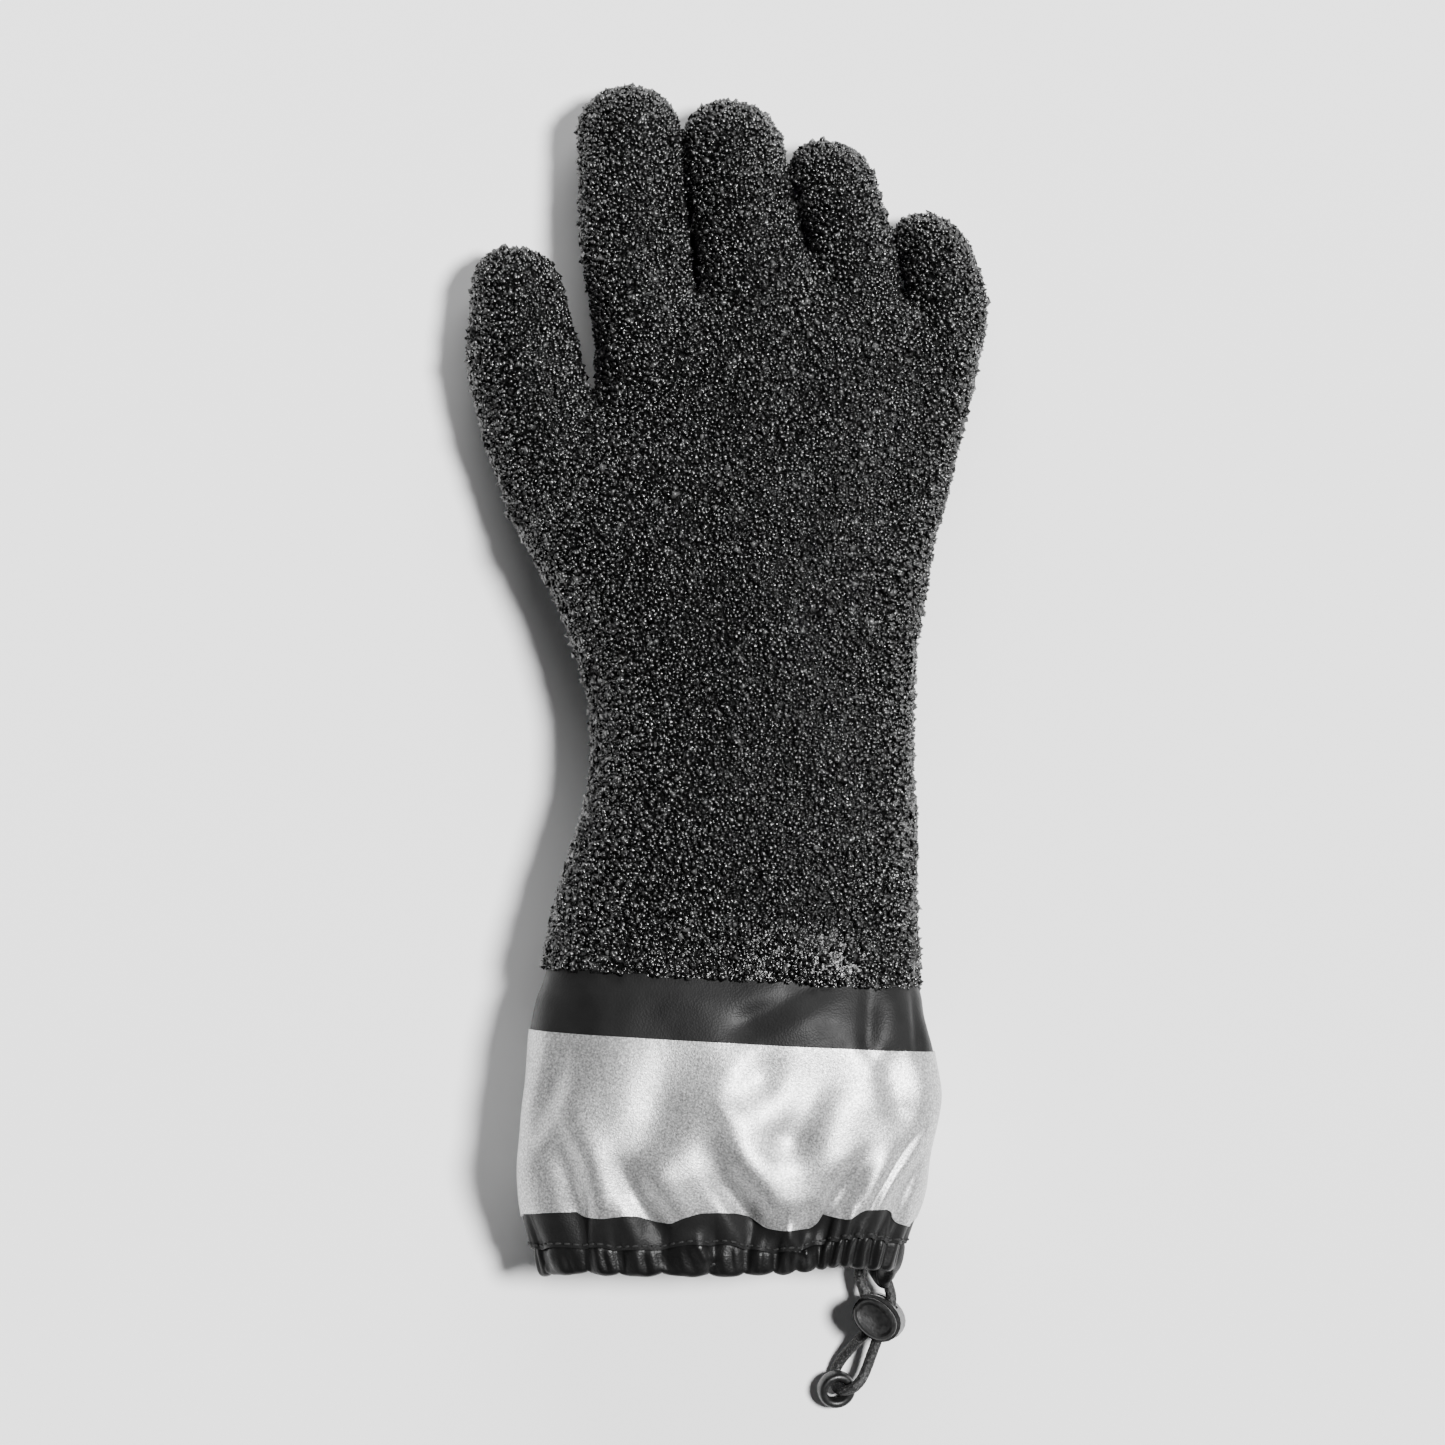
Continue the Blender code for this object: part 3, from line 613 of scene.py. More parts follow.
def body_rings(inset):
    """The arm and the palm, closed off in a rounded front along the line of the webs."""
    rings = [HAND.ring(y, inset) for y in np.arange(ARM_START_Y, PALM_END_Y, 4.0)]
    front_x = [-60.0, *(x for x, _ in EDGES), 100.0]
    front_y = [118.0, *(y for _, y in EDGES), 112.0]
    for share in np.sin(np.linspace(0.0, np.pi / 2, 14)):
        ring = HAND.ring(PALM_END_Y, inset)
        reach = np.interp(ring[:, 0], front_x, front_y) - inset - PALM_END_Y
        ring[:, 1] += reach * share
        middle = ring[:, 2].mean()
        ring[:, 2] = middle + (ring[:, 2] - middle) * max(1 - share**2.4, 0.0) ** 0.5
        rings.append(ring)
    return rings


def limb_rings(rows, tip_y, inset, count=72):
    """A finger or thumb from its rows of (y, left, right, low, top), round at the tip."""
    table = np.array(rows)
    half = (table[-1, 2] - table[-1, 1]) / 2
    last = tip_y - half
    middles = (table[:, 1] + table[:, 2]) / 2
    lean = (middles[-1] - middles[-2]) / (table[-1, 0] - table[-2, 0])
    stations = [(y, 0.0) for y in np.arange(table[0, 0], last, 2.0)]
    stations += [(last + (half - inset) * f, f) for f in np.sin(np.linspace(0.0, np.pi / 2, 11))]
    rings = []
    for y, share in stations:
        left, right, low, high = (np.interp(y, table[:, 0], table[:, k]) for k in (1, 2, 3, 4))
        scale = max(1 - share**TIP_POWER, 0.0) ** (1 / TIP_POWER)
        points = oval(count, (right - left) / 2 - inset, (high - low) / 2 - inset, FINGER_POWER)
        x = points[:, 0] * scale + (left + right) / 2 + lean * max(y - table[-1, 0], 0.0)
        z = points[:, 1] * scale + (low + high) / 2
        rings.append(np.stack([x, np.full(count, y), z], 1))
    return rings


def tip_y(name):
    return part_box(f"{name}_tip_shell")[1][1] / MM


def wander(points, size, depth):
    """Moves points by a soft random vector field, so that no outline is drawn with a ruler."""
    moved = points.copy()
    for k, point in enumerate(points):
        moved[k] += np.array(noise.noise_vector(Vector(point / size))) * depth
    return moved


def hand_solid(voxel, inset, smoothing):
    """(points, quads) of one skin round the arm, palm, fingers and thumb."""
    stacks = [body_rings(inset)]
    for name in FINGERS:
        rows = [(y, left, right, FINGER_LOW, top) for y, left, right, top in FINGER_ROWS[name]]
        stacks.append(limb_rings(rows, tip_y(name), inset))
    stacks.append(limb_rings(THUMB_ROWS, tip_y("thumb"), inset))
    obj = stacked_object("hand", stacks)
    remesh = obj.modifiers.new("skin", "REMESH")
    remesh.mode = "VOXEL"
    remesh.voxel_size = voxel * MM
    smooth = obj.modifiers.new("soften", "SMOOTH")
    smooth.factor = 0.5
    smooth.iterations = smoothing
    mesh = settled(obj).data
    quads = np.empty(len(mesh.loops), int)
    mesh.loops.foreach_get("vertex_index", quads)
    points = wander(mesh_points(mesh), SKIN_WANDER, SKIN_STRAY)
    bpy.data.objects.remove(obj)
    return points, quads.reshape(-1, 4)


# ---------------- which body each stretch follows

WRIST_BLEND = (-44.0, 14.0)
COAT_EDGE = (-97.9, -0.058)  # the coat's end: its y at x 0, and the slope across the arm
LINING_END_Y = -113.0
BENDS = {  # mm over which the knuckle bends, the middle joint's start from its axis, its length, its slant
    "index": (24.0, -2.5, 15.0, -0.05),
    "middle": (18.0, -3.5, 14.0, -0.12),
    "ring": (13.0, -1.0, 12.5, 0.25),
    "little": (12.0, 0.0, 11.0, 0.2),
}
THUMB_BENDS = (16.0, -2.8, 15.0, -0.3)
THUMB_NORMAL = (-0.8398, 0.5429)  # square to the line along which the thumb leaves the palm


def flat(joint):
    return np.array(JOINTS[joint]["pos_m"][:2]) / MM


def unit(x, y):
    return np.array((x, y)) / math.hypot(x, y)


def bends():
    """{stretch: (body before, body after, start, direction, length)} for every stretch that bends."""
    made = {}
    for k, name in enumerate(FINGERS):
        long, ahead, tip_long, slant = BENDS[name]
        first = np.array(EDGES[k])
        second = np.array(EDGES[k + 1])
        ahead_of_web = unit(first[1] - second[1], second[0] - first[0])
        made[name + "_base"] = ("palm", name + "_base", (first + second) / 2, ahead_of_web, long)
        start = flat(name + "_joint") + (0.0, ahead)
        made[name + "_tip"] = (name + "_base", name + "_tip", start, unit(slant, 1.0), tip_long)
    long, ahead, tip_long, slant = THUMB_BENDS
    start = flat("thumb_saddle") + (0.0, 0.6)
    made["thumb_base"] = ("palm", "thumb_base", start, unit(*THUMB_NORMAL), long)
    start = flat("thumb_joint") + (0.0, ahead)
    made["thumb_tip"] = ("thumb_base", "thumb_tip", start, unit(slant, 1.0), tip_long)
    start = np.array((0.0, WRIST_BLEND[0]))
    made["arm"] = ("gauntlet", "palm", start, unit(0.0, 1.0), WRIST_BLEND[1] - WRIST_BLEND[0])
    return made


STRETCHES = bends()


def beyond(points, stretch):
    """How far points are past a stretch's start."""
    _, _, start, direction, _ = STRETCHES[stretch]
    return (points[:, :2] - start) @ direction


def stretches_of(points):
    """The name of the stretch that each point of the hand belongs to."""
    x = points[:, 0]
    y = points[:, 1]
    names = np.full(len(points), "palm", dtype="<U12")
    names[y < WRIST_BLEND[1]] = "arm"
    gaps = [web[0] + lean * (y - web[1]) for web, lean in zip(WEBS, GAP_LEANS)]
    number = sum((x > gap).astype(int) for gap in gaps)
    for k, name in enumerate(FINGERS):
        mine = (number == k) & (beyond(points, name + "_base") > 0)
        names[mine] = name + "_base"
        names[mine & (beyond(points, name + "_tip") > 0)] = name + "_tip"
    thumb_gap = THUMB_WEB[0] + THUMB_GAP_LEAN * (y - THUMB_WEB[1])
    mine = (beyond(points, "thumb_base") > 0) & ((y < THUMB_WEB[1]) | (x < thumb_gap)) & (x < THUMB_WEB[0])
    names[mine] = "thumb_base"
    names[mine & (beyond(points, "thumb_tip") > 0)] = "thumb_tip"
    return names


def follow(obj, stretch):
    """Attaches a palm piece to the palm body; any other piece only has its transform applied."""
    if stretch == "palm":
        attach(obj, "palm")
        return
    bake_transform(obj)


# ---------------- coat, lining and crumbs

SKIN_VOXEL = 1.4
COAT_THICK = 1.3
LINING_VOXEL = 3.2
LINING_INSET = 3.4
LINING_THICK = 2.4
CRUMB_SIZE = 1.0  # mm from a crumb's middle to its corners
CRUMB_MOST = 1.6  # the largest crumb's size, against the usual one
CRUMB_STRAY = 0.45  # how far a crumb's corner may lie from its usual place
BARE_SPOTS = (  # places near the cuff where crumbs are thin: (x, y, radius)
    (30.5, -80.0, 6.0), (34.5, -89.5, 4.5), (12.5, -94.0, 3.5),
    (28.0, -70.0, 3.5), (38.0, -95.0, 4.0),
)
CRUMB = np.array(((1, 0, 0), (-0.5, 0.87, 0), (-0.5, -0.87, 0), (0, 0, 1.0), (0, 0, -1.0)), float)
CRUMB_FACES = np.array(((0, 1, 3), (1, 2, 3), (2, 0, 3), (1, 0, 4), (2, 1, 4), (0, 2, 4)))


def coat_edge(points):
    """Where the coat ends, along Y, at each point."""
    return COAT_EDGE[0] + COAT_EDGE[1] * points[:, 0]


def layered(name, outer, inner, quads, finish, inner_finish=None):
    """A skin with thickness: its outer faces, its inner faces and the rims between, crisp at the rims."""
    count = len(outer)
    edges = np.concatenate([quads[:, (k, (k + 1) % 4)] for k in range(4)])
    there = edges[:, 0] * count + edges[:, 1]
    back = edges[:, 1] * count + edges[:, 0]
    rim = edges[~np.isin(back, there)]
    rim_faces = np.stack([rim[:, 1], rim[:, 0], rim[:, 0] + count, rim[:, 1] + count], 1)
    faces = np.concatenate([quads, quads[:, ::-1] + count, rim_faces])
    obj = mesh_object(name, np.concatenate([outer, inner]), faces, finish)
    mesh = obj.data
    ends = np.sort(edge_ends(mesh), 1)
    borders = np.sort(np.concatenate([rim, rim + count]), 1)
    total = 2 * count
    sharp = np.isin(ends[:, 0] * total + ends[:, 1], borders[:, 0] * total + borders[:, 1])
    mesh.attributes.new("sharp_edge", "BOOLEAN", "EDGE").data.foreach_set("value", sharp)
    if inner_finish is not None:
        mesh.materials.append(inner_finish)
        numbers = np.zeros(len(faces), np.int32)
        numbers[len(quads) :] = 1
        mesh.polygons.foreach_set("material_index", numbers)
    return obj


def sunk(points, quads, depth):
    """points moved inward by depth."""
    corners = points[quads]
    normals = np.cross(corners[:, 2] - corners[:, 0], corners[:, 3] - corners[:, 1])
    total = np.zeros_like(points)
    for k in range(4):
        np.add.at(total, quads[:, k], normals)
    return points - total / np.linalg.norm(total, axis=1)[:, None] * depth


def make_layer(suffix, node_suffix, solid, finish, thickness, end):
    """One piece of a layer for each stretch of the hand, cut off at the arm's end."""
    points, quads = solid
    inner = sunk(points, quads, thickness)
    middles = points[quads].mean(1)
    names = stretches_of(middles)
    kept = middles[:, 1] > end(middles)
    for stretch in [*STRETCHES, "palm"]:
        mine = quads[kept & (names == stretch)]
        used, renumbered = np.unique(mine, return_inverse=True)
        faces = renumbered.reshape(-1, 4)
        obj = layered(f"{stretch}_{suffix}", points[used], inner[used], faces, finish)
        follow(obj, stretch)
        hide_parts(("gauntlet" if stretch == "arm" else stretch) + node_suffix)


def turns(rng, count):
    """count random rotation matrices."""
    q = rng.normal(size=(count, 4))
    w, x, y, z = (q / np.linalg.norm(q, axis=1)[:, None]).T
    rows = [
        1 - 2 * (y * y + z * z), 2 * (x * y - z * w), 2 * (x * z + y * w),
        2 * (x * y + z * w), 1 - 2 * (x * x + z * z), 2 * (y * z - x * w),
        2 * (x * z - y * w), 2 * (y * z + x * w), 1 - 2 * (x * x + y * y),
    ]
    return np.stack(rows, 1).reshape(count, 3, 3)


def crumb_spots(rng, points, quads):
    """One random spot on every quad, with its normal."""
    a, b, c, d = (points[quads[:, k]] for k in range(4))
    u, v = rng.random((2, len(quads), 1))
    spots = (a * (1 - u) + b * u) * (1 - v) + (d * (1 - u) + c * u) * v
    normals = np.cross(c - a, d - b)
    return spots, normals / np.linalg.norm(normals, axis=1)[:, None]


def crumb_chance(spots, normals):
    """How likely a crumb sits at each spot: fewer near the cuff and underneath, few on the bare spots."""
    near_cuff = np.clip((spots[:, 1] + 50.0) / (COAT_EDGE[0] + 50.0), 0, 1)
    chance = 0.98 - 0.1 * near_cuff
    chance[normals[:, 2] < -0.8] *= 0.8
    for x, y, radius in BARE_SPOTS:
        away = np.hypot(spots[:, 0] - x, (spots[:, 1] - y) * 0.8) / radius
        chance *= 1 - 0.75 * np.exp(-(away**2)) * (normals[:, 2] > 0.3)
    return chance


def make_crumbs(solid, finish):
    rng = np.random.default_rng(SEED)
    spots, normals = crumb_spots(rng, *solid)
    kept = (rng.random(len(spots)) < crumb_chance(spots, normals)) & (spots[:, 1] > coat_edge(spots))
    spots = spots[kept]
    normals = normals[kept]
    count = len(spots)
    near_cuff = np.clip((spots[:, 1] + 40.0) / (COAT_EDGE[0] + 40.0), 0, 1)
    size = CRUMB_SIZE * (1 + 0.16 * near_cuff) * np.minimum(rng.lognormal(0.0, 0.26, count), CRUMB_MOST)
    shapes = CRUMB + np.clip(rng.normal(0.0, 0.2, (count, 5, 3)), -CRUMB_STRAY, CRUMB_STRAY)
    shapes = np.einsum("nij,nkj->nki", turns(rng, count), shapes) * size[:, None, None]
    middles = spots + normals * (0.05 + 0.75 * rng.random(count) ** 2 * size)[:, None]
    corners = shapes + middles[:, None]
    corners[:, :, 2] = np.maximum(corners[:, :, 2], 0.0)
    names = stretches_of(spots)
    palm = names == "palm"
    names = np.where(palm & (normals[:, 2] > 0), "palm_back", np.where(palm, "palm_front", names))
    for name in [*STRETCHES, "palm_back", "palm_front"]:
        mine = corners[names == name]
        faces = CRUMB_FACES[None] + 5 * np.arange(len(mine))[:, None, None]
        obj = mesh_object(name + "_crumbs", mine.reshape(-1, 3), faces.reshape(-1, 3), finish, smooth=False)
        follow(obj, "palm" if name.startswith("palm") else name)


def make_hand():
    skin = hand_solid(SKIN_VOXEL, COAT_INSET, 8)
    make_layer("coat", "_shell", skin, pvc_finish(), COAT_THICK, coat_edge)
    lining = hand_solid(LINING_VOXEL, LINING_INSET, 3)
    make_layer("lining", "_liner", lining, pile_finish(), LINING_THICK, lambda _: LINING_END_Y)
    make_crumbs(skin, crumb_finish())


# ---------------- cuff: sleeve, band and hem

CUFF_COLUMNS = 600
CUFF_POWER = 2.6
CUFF_FLATNESS = 0.42  # the cuff's height over its width
DENSE = 6000  # samples round an outline that is measured
SLEEVE_TOP_Y = -93.0
SLEEVE_TUCK = 4.0  # how far the sleeve runs up under the coat
SLEEVE_OUT = (-1.7, 1.1)  # from the cuff's face to the sleeve's under the coat, and its rise past the coat
SLEEVE_STEP = (97.0, 106.0)  # -Y over which it rises
SLEEVE_ROWS = 78
CLOTH_THICK = 0.8
TAPE_SPAN = (-94.0, -110.0)
TAPE_ROWS = 12
TAPE_OUT = -3.0  # from the cuff's face to the tape's
TAPE_THICK = 0.4
TAPE_LOW = 1.4  # the tape's least height over the floor
BAND_ROWS = 60
BAND_LOW_Y = -177.0  # about where the band's lower edge lies
BAND_THICK = 0.3
BAND_OUT = -0.1  # from the cuff's face to the band's
BAND_TOP = (-118.9, -0.055)  # the band's upper edge: its y at x 0, and its slope
BAND_EDGE = (  # the band's wavy lower edge on the upper side: (x, y)
    (-72.0, -177.2), (-58.8, -175.7), (-49.3, -175.3), (-48.3, -177.0), (-41.8, -177.3),
    (-33.7, -176.3), (-29.7, -176.5), (-24.7, -178.3), (-19.7, -179.0), (-14.7, -177.0),
    (-8.7, -175.3), (-2.6, -175.1), (3.4, -175.5), (8.4, -177.0), (13.4, -180.5),
    (19.5, -181.3), (28.5, -180.7), (30.6, -175.5), (34.5, -176.8), (40.1, -177.8),
    (44.1, -174.5), (52.6, -174.5), (55.0, -176.0), (55.6, -178.3), (62.6, -181.0),
    (72.0, -178.5),
)
FOLDS = (  # soft grooves in the cuff's upper side: (x, y) to (x, y), half width, depth
    (-6.6, -152.0, 10.4, -181.0, 5.2, 2.8),
    (-38.6, -156.0, -23.8, -181.0, 5.0, 1.9),
    (-57.8, -144.0, -50.3, -178.0, 4.6, 1.6),
    (-52.8, -119.0, -66.0, -150.0, 5.5, 1.1),
    (49.0, -153.0, 29.5, -183.0, 4.0, 2.1),
    (33.0, -124.0, 20.5, -154.0, 7.5, 1.4),
    (21.0, -124.0, 2.0, -138.0, 6.5, 0.9),
    (2.4, -119.0, 2.0, -166.0, 8.0, -1.2),
    (52.0, -117.0, 59.0, -144.0, 6.0, 1.0),
    (-20.0, -120.0, -28.0, -158.0, 9.0, 1.0),
    (36.0, -97.0, 4.0, -113.0, 4.5, 0.9),
    (48.5, -97.0, 46.5, -121.0, 3.6, 0.8),
    (62.5, -98.0, 63.6, -122.0, 1.8, 0.7),
    (-12.0, -182.0, -6.0, -192.0, 3.5, -1.2),
    (16.0, -178.0, 26.0, -190.0, 3.5, -1.4),
)
PLEATS = (  # crisp laps: (x, y) to (x, y), reach to the left of the lap, depth
    (70.6, -139.0, 42.6, -180.0, 4.5, 1.9),
    (70.2, -149.0, 54.2, -181.0, 4.0, 1.7),
    (-50.0, -164.0, -48.3, -184.0, 3.0, 1.0),
)
FOLD_DEPTH = 2.1
LAP_FACE = 1.5  # mm over which a lap drops
CREASES = (52.0, 47.3, 41.6, 37.5, 33.6, 29.8, 23.0, 15.4, 5.5, -6.0, -21.9, -36.4, -47.1, -62.0)  # their x
CREASES_UNDER = 15  # on the underside
STITCH_Y = -188.0
STITCH_RISE = (  # how far the stitch line strays up on the upper side: (x, rise)
    (-65.0, -0.3), (-50.0, 1.0), (-40.0, 1.0), (-31.0, -0.2), (-5.0, 3.0), (8.0, 0.5),
    (17.0, -1.0), (23.0, 0.0), (33.0, 4.0), (44.0, 4.7), (56.0, 1.0),
)
HEM_EDGE = (  # how far the hem's edge strays up from its lowest on the upper side: (x, rise)
    (-64.0, 0.0), (-47.0, 1.8), (-30.0, 0.6), (-14.0, 1.4), (-2.0, 0.6), (14.0, 1.6),
    (27.0, 2.4), (36.0, 4.3), (44.0, 3.2), (58.0, 1.8),
)
STITCH_STRAY = 0.9  # how far it strays besides
HEM_STITCHES = (0.9, -0.5)  # above the stitch line, and out from the cuff's face
JOIN_STITCHES = (0.7, -1.4)  # above the coat's edge, and out from the cuff's face
STITCH_PITCH = 3.2
STITCH_LONG = 2.5
THREAD = 0.7
THREAD_SIDES = 8
THREAD_OUT = 0.18  # from the seam to the middle of the thread
THREAD_DIVE = 0.55  # how far a stitch's ends go in
HEM_END_Y = -197.9
EXIT_X = 56.0  # where the cord comes out of the hem
TONGUE = (9.0, 4.5)  # how far the hem's underside reaches down there, and half its width
HEM_SAMPLES = 30  # points round the channel
UNDER_TUCK = 3.8  # how much shorter the underside is, out of sight from above
HEM_PROFILE = (  # round the channel: (out from the sleeve's face, share of the way down)
    (-0.6, 0.0), (0.4, 0.1), (0.9, 0.28), (1.1, 0.5), (1.1, 0.75), (0.5, 0.93), (-1.0, 1.0),
    (-3.0, 0.97), (-4.6, 0.84), (-5.2, 0.62), (-4.9, 0.38), (-3.8, 0.18), (-2.4, 0.04), (-1.4, -0.04),
)


def even_angles(count):
    """Angles at which points stand evenly round the cuff."""
    dense = oval(DENSE, 1.0, CUFF_FLATNESS, CUFF_POWER)
    travelled = travel(np.vstack([dense, dense[:1]]))
    wanted = np.arange(count) / count * travelled[-1]
    return np.interp(wanted, travelled, np.linspace(0, 2 * np.pi, DENSE + 1))


ANGLES = even_angles(CUFF_COLUMNS)
ROUND = np.arange(CUFF_COLUMNS) / CUFF_COLUMNS  # share of the way round
UPPER_SIDE = ease(np.sin(ANGLES), -0.25, 0.25)  # 1 on the upper side, 0 underneath


def uneven(share):
    """A closed wave round the cuff, about -1 to 1."""
    turn = 2 * np.pi * share
    return 0.5 * np.sin(3 * turn + 1.1) + 0.35 * np.sin(7 * turn + 2.3) + 0.25 * np.sin(13 * turn + 0.7)


def along_line(x, y, line):
    """(distance to the left, fade in and out) of a point (x, y) by a line of x0, y0, x1, y1."""
    x0, y0, x1, y1 = line
    ahead = unit(x1 - x0, y1 - y0)
    long = math.hypot(x1 - x0, y1 - y0)
    gone = (x - x0) * ahead[0] + (y - y0) * ahead[1]
    away = (x - x0) * ahead[1] - (y - y0) * ahead[0]
    return away, ease(gone, -0.15 * long, 0.55 * long) * (1 - ease(gone, 0.85 * long, 1.25 * long))


def fold_depth(x, y):
    """How far the folds and pleats sink the cuff's upper side at (x, y)."""
    depth = np.zeros(np.broadcast(x, y).shape)
    for *line, width, deep in FOLDS:
        away, fade = along_line(x, y, line)
        groove = np.exp(-((away / width) ** 2))
        shoulder = np.exp(-(((away + 2.0 * width) / (1.3 * width)) ** 2))
        depth += FOLD_DEPTH * deep * fade * (groove - 0.35 * shoulder)
    for *line, reach, deep in PLEATS:
        away, fade = along_line(x, y, line)
        depth += deep * fade * np.where(away > 0, np.exp(-away / reach), np.exp(-((away / LAP_FACE) ** 2)))
    return depth


def cuff_points(y, out):
    """(rows, columns, 3) points of the cuff at heights y, which are (rows, columns), moved outward by out."""
    left, right, top = CUFF.at(y)
    c = np.cos(ANGLES)
    s = np.sin(ANGLES)
    power = 2 / CUFF_POWER
    half_x = (right - left) / 2
    half_z = (top + FLOOR_DIP) / 2
    x = half_x * np.sign(c) * np.abs(c) ** power
    z = half_z * np.sign(s) * np.abs(s) ** power
    normal_x = np.roll(z, -1, 1) - np.roll(z, 1, 1)
    normal_z = np.roll(x, 1, 1) - np.roll(x, -1, 1)
    long = np.hypot(normal_x, normal_z)
    upper = ease(z, 0.0, 0.6 * half_z)
    out = out - fold_depth(x + (left + right) / 2, y) * upper
    x = x + normal_x / long * out + (left + right) / 2
    z = z + normal_z / long * out + (top - FLOOR_DIP) / 2
    return np.stack([x, np.broadcast_to(y, x.shape), z], 2)


def columns_x(y):
    """The X of every column of the cuff at one height."""
    return cuff_points(np.full((1, CUFF_COLUMNS), y), 0.0)[0, :, 0]


def crease_phase():
    """Gathers counted round the cuff: a number that grows by one from each crease to the next."""
    x = columns_x(HEM_END_Y)
    half = np.argmin(x)
    over = np.interp(CREASES, x[half::-1], ROUND[half::-1])
    under = np.linspace(over[-1], over[0] + 1, CREASES_UNDER + 2)[1:-1]
    under = under + 0.3 * (under[1] - under[0]) * uneven(under * 5)
    marks = np.concatenate([over, under, over[:1] + 1])
    rounds = np.where(ROUND < marks[0], ROUND + 1, ROUND)
    return np.interp(rounds, marks, np.arange(len(marks)))


PHASE = crease_phase()


def over_top(table):
    """Values from a table of (x, value) for each column, smoothed."""
    return averaged(np.interp(columns_x(HEM_END_Y), *np.array(table).T), np.full(31, 1 / 31))


def lobes(times=1.0, shift=0.0, power=0.8):
    """Rounded lobes with sharp valleys, one for each pucker: 0 in a valley, 1 on a crown."""
    return np.abs(np.sin(np.pi * (PHASE * times + shift))) ** power


def gather(y):
    """Relief of the gathers, growing towards the hem."""
    lean = (lobes(1.0, 0.12) - 0.6) * ease(-y, 160.0, 184.0) ** 1.3
    coarse = (lobes(power=1.1) - 0.6) * ease(-y, 168.0, 188.0) ** 1.4
    fine = (lobes(2.0, 0.3, 1.0) - 0.6) * ease(-y, 178.0, 189.0)
    return 0.6 * lean + 1.5 * coarse + 0.5 * fine


def resting(points, floor):
    """points with none under the floor."""
    points[..., 2] = np.maximum(points[..., 2], floor)
    return points


def wander_cuff(points):
    """A soft wandering of the cloth, none at the coat's edge."""
    flat_points = points.reshape(-1, 3)
    moves = wander(flat_points, 21.0, 1.5) - flat_points
    moves[:, 1] = 0.0
    calm = ease(-flat_points[:, 1], 96.0, 112.0)
    return (moves * calm[:, None]).reshape(points.shape)


def cuff_sheet(name, y, out, thickness, finish, inner_finish):
    """A tube of cloth at heights y, out from the cuff's face."""
    relief = gather(y) + out
    rows, columns = y.shape
    outer = cuff_points(y, relief)
    inner = cuff_points(y, relief - thickness)
    wave = wander_cuff(outer)
    outer = resting(outer + wave, 0.3).reshape(-1, 3)
    inner = resting(inner + wave, 0.3 + thickness).reshape(-1, 3)
    quads = grid_quads(rows, columns)[:, ::-1]
    return layered(name, outer, inner, quads, finish, inner_finish)


def stitch_wave():
    """How far the hem's stitch line strays up."""
    strays = UPPER_SIDE * over_top(STITCH_RISE) + STITCH_STRAY * (1 - UPPER_SIDE) * uneven(ROUND)
    return strays + STITCH_STRAY * (lobes() - 0.5)


def band_edges(rows):
    """Heights of the band's rows, from its upper edge to its wavy lower edge."""
    x = columns_x(BAND_LOW_Y)
    over = averaged(np.interp(x, *np.array(BAND_EDGE).T), np.ones(5) / 5)
    under = BAND_LOW_Y - 0.4 + 1.8 * uneven(ROUND)
    low = over * UPPER_SIDE + under * (1 - UPPER_SIDE)
    high = BAND_TOP[0] + BAND_TOP[1] * x
    share = np.linspace(0, 1, rows)[:, None]
    return high * (1 - share) + low * share


def sleeve_heights(rows):
    """Heights of the sleeve's rows, from under the coat to the hem's stitch line."""
    top = COAT_EDGE[0] + SLEEVE_TUCK + COAT_EDGE[1] * columns_x(SLEEVE_TOP_Y)
    end = STITCH_Y - 0.4 + stitch_wave()
    share = np.linspace(0, 1, rows)[:, None]
    return top * (1 - share) + end * share


def make_sleeve(hem):
    y = sleeve_heights(SLEEVE_ROWS)
    out = SLEEVE_OUT[0] + SLEEVE_OUT[1] * ease(-y, *SLEEVE_STEP)
    sleeve = cuff_sheet("sleeve_cloth", y, out, CLOTH_THICK, cloth_finish(), backing_finish())
    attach(sleeve, "gauntlet")
    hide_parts("cuff_sleeve")
    y = band_edges(BAND_ROWS)
    band = cuff_sheet("reflector_cloth", y, BAND_OUT, BAND_THICK, reflector_finish(), None)
    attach(band, "gauntlet")
    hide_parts("reflective_band")


def hem_span():
    """Where the hem channel starts, at its stitch line, and ends, at its scalloped edge."""
    low_side = ease(-np.sin(ANGLES), -0.1, 0.3)
    edge = (1 - low_side) * over_top(HEM_EDGE) + low_side * UNDER_TUCK
    scallop = 0.3 * uneven(ROUND * 3 + 0.37) - 1.5 * (lobes(power=0.5) - 0.8)
    tongue = TONGUE[0] * np.exp(-(((columns_x(HEM_END_Y) - EXIT_X) / TONGUE[1]) ** 4)) * low_side
    return STITCH_Y + stitch_wave(), HEM_END_Y + edge + scallop - tongue


def hem_points():
    """(samples, columns, 3) points round the folded channel."""
    closed = np.array([*HEM_PROFILE, HEM_PROFILE[0]])
    where = np.linspace(0, len(HEM_PROFILE), HEM_SAMPLES, endpoint=False)
    rounds = (np.interp(where, np.arange(len(closed)), closed[:, k]) for k in (0, 1))
    out, down = (averaged(values, (0.25, 0.5, 0.25))[:, None] for values in rounds)
    slant = (0.25 + 0.4 * uneven(ROUND * 2 + 0.1)) * (down - 0.5)
    puffs = lobes(shift=slant, power=0.6)
    wrinkles = lobes(2.0, 0.3 + 1.8 * slant, 1.0) - 0.6
    tall = 0.66 + 0.36 * uneven(ROUND * 5 + 0.4)
    start, end = hem_span()
    y = start + (end - start) * down
    bulge = np.where(out > 0, out * (0.1 + tall * puffs + 0.5 * wrinkles), out)
    inside = cuff_points(y, gather(np.maximum(y, start)) * (1 - 0.5 * down) + bulge - 1.5)
    return resting(inside, 0.4)


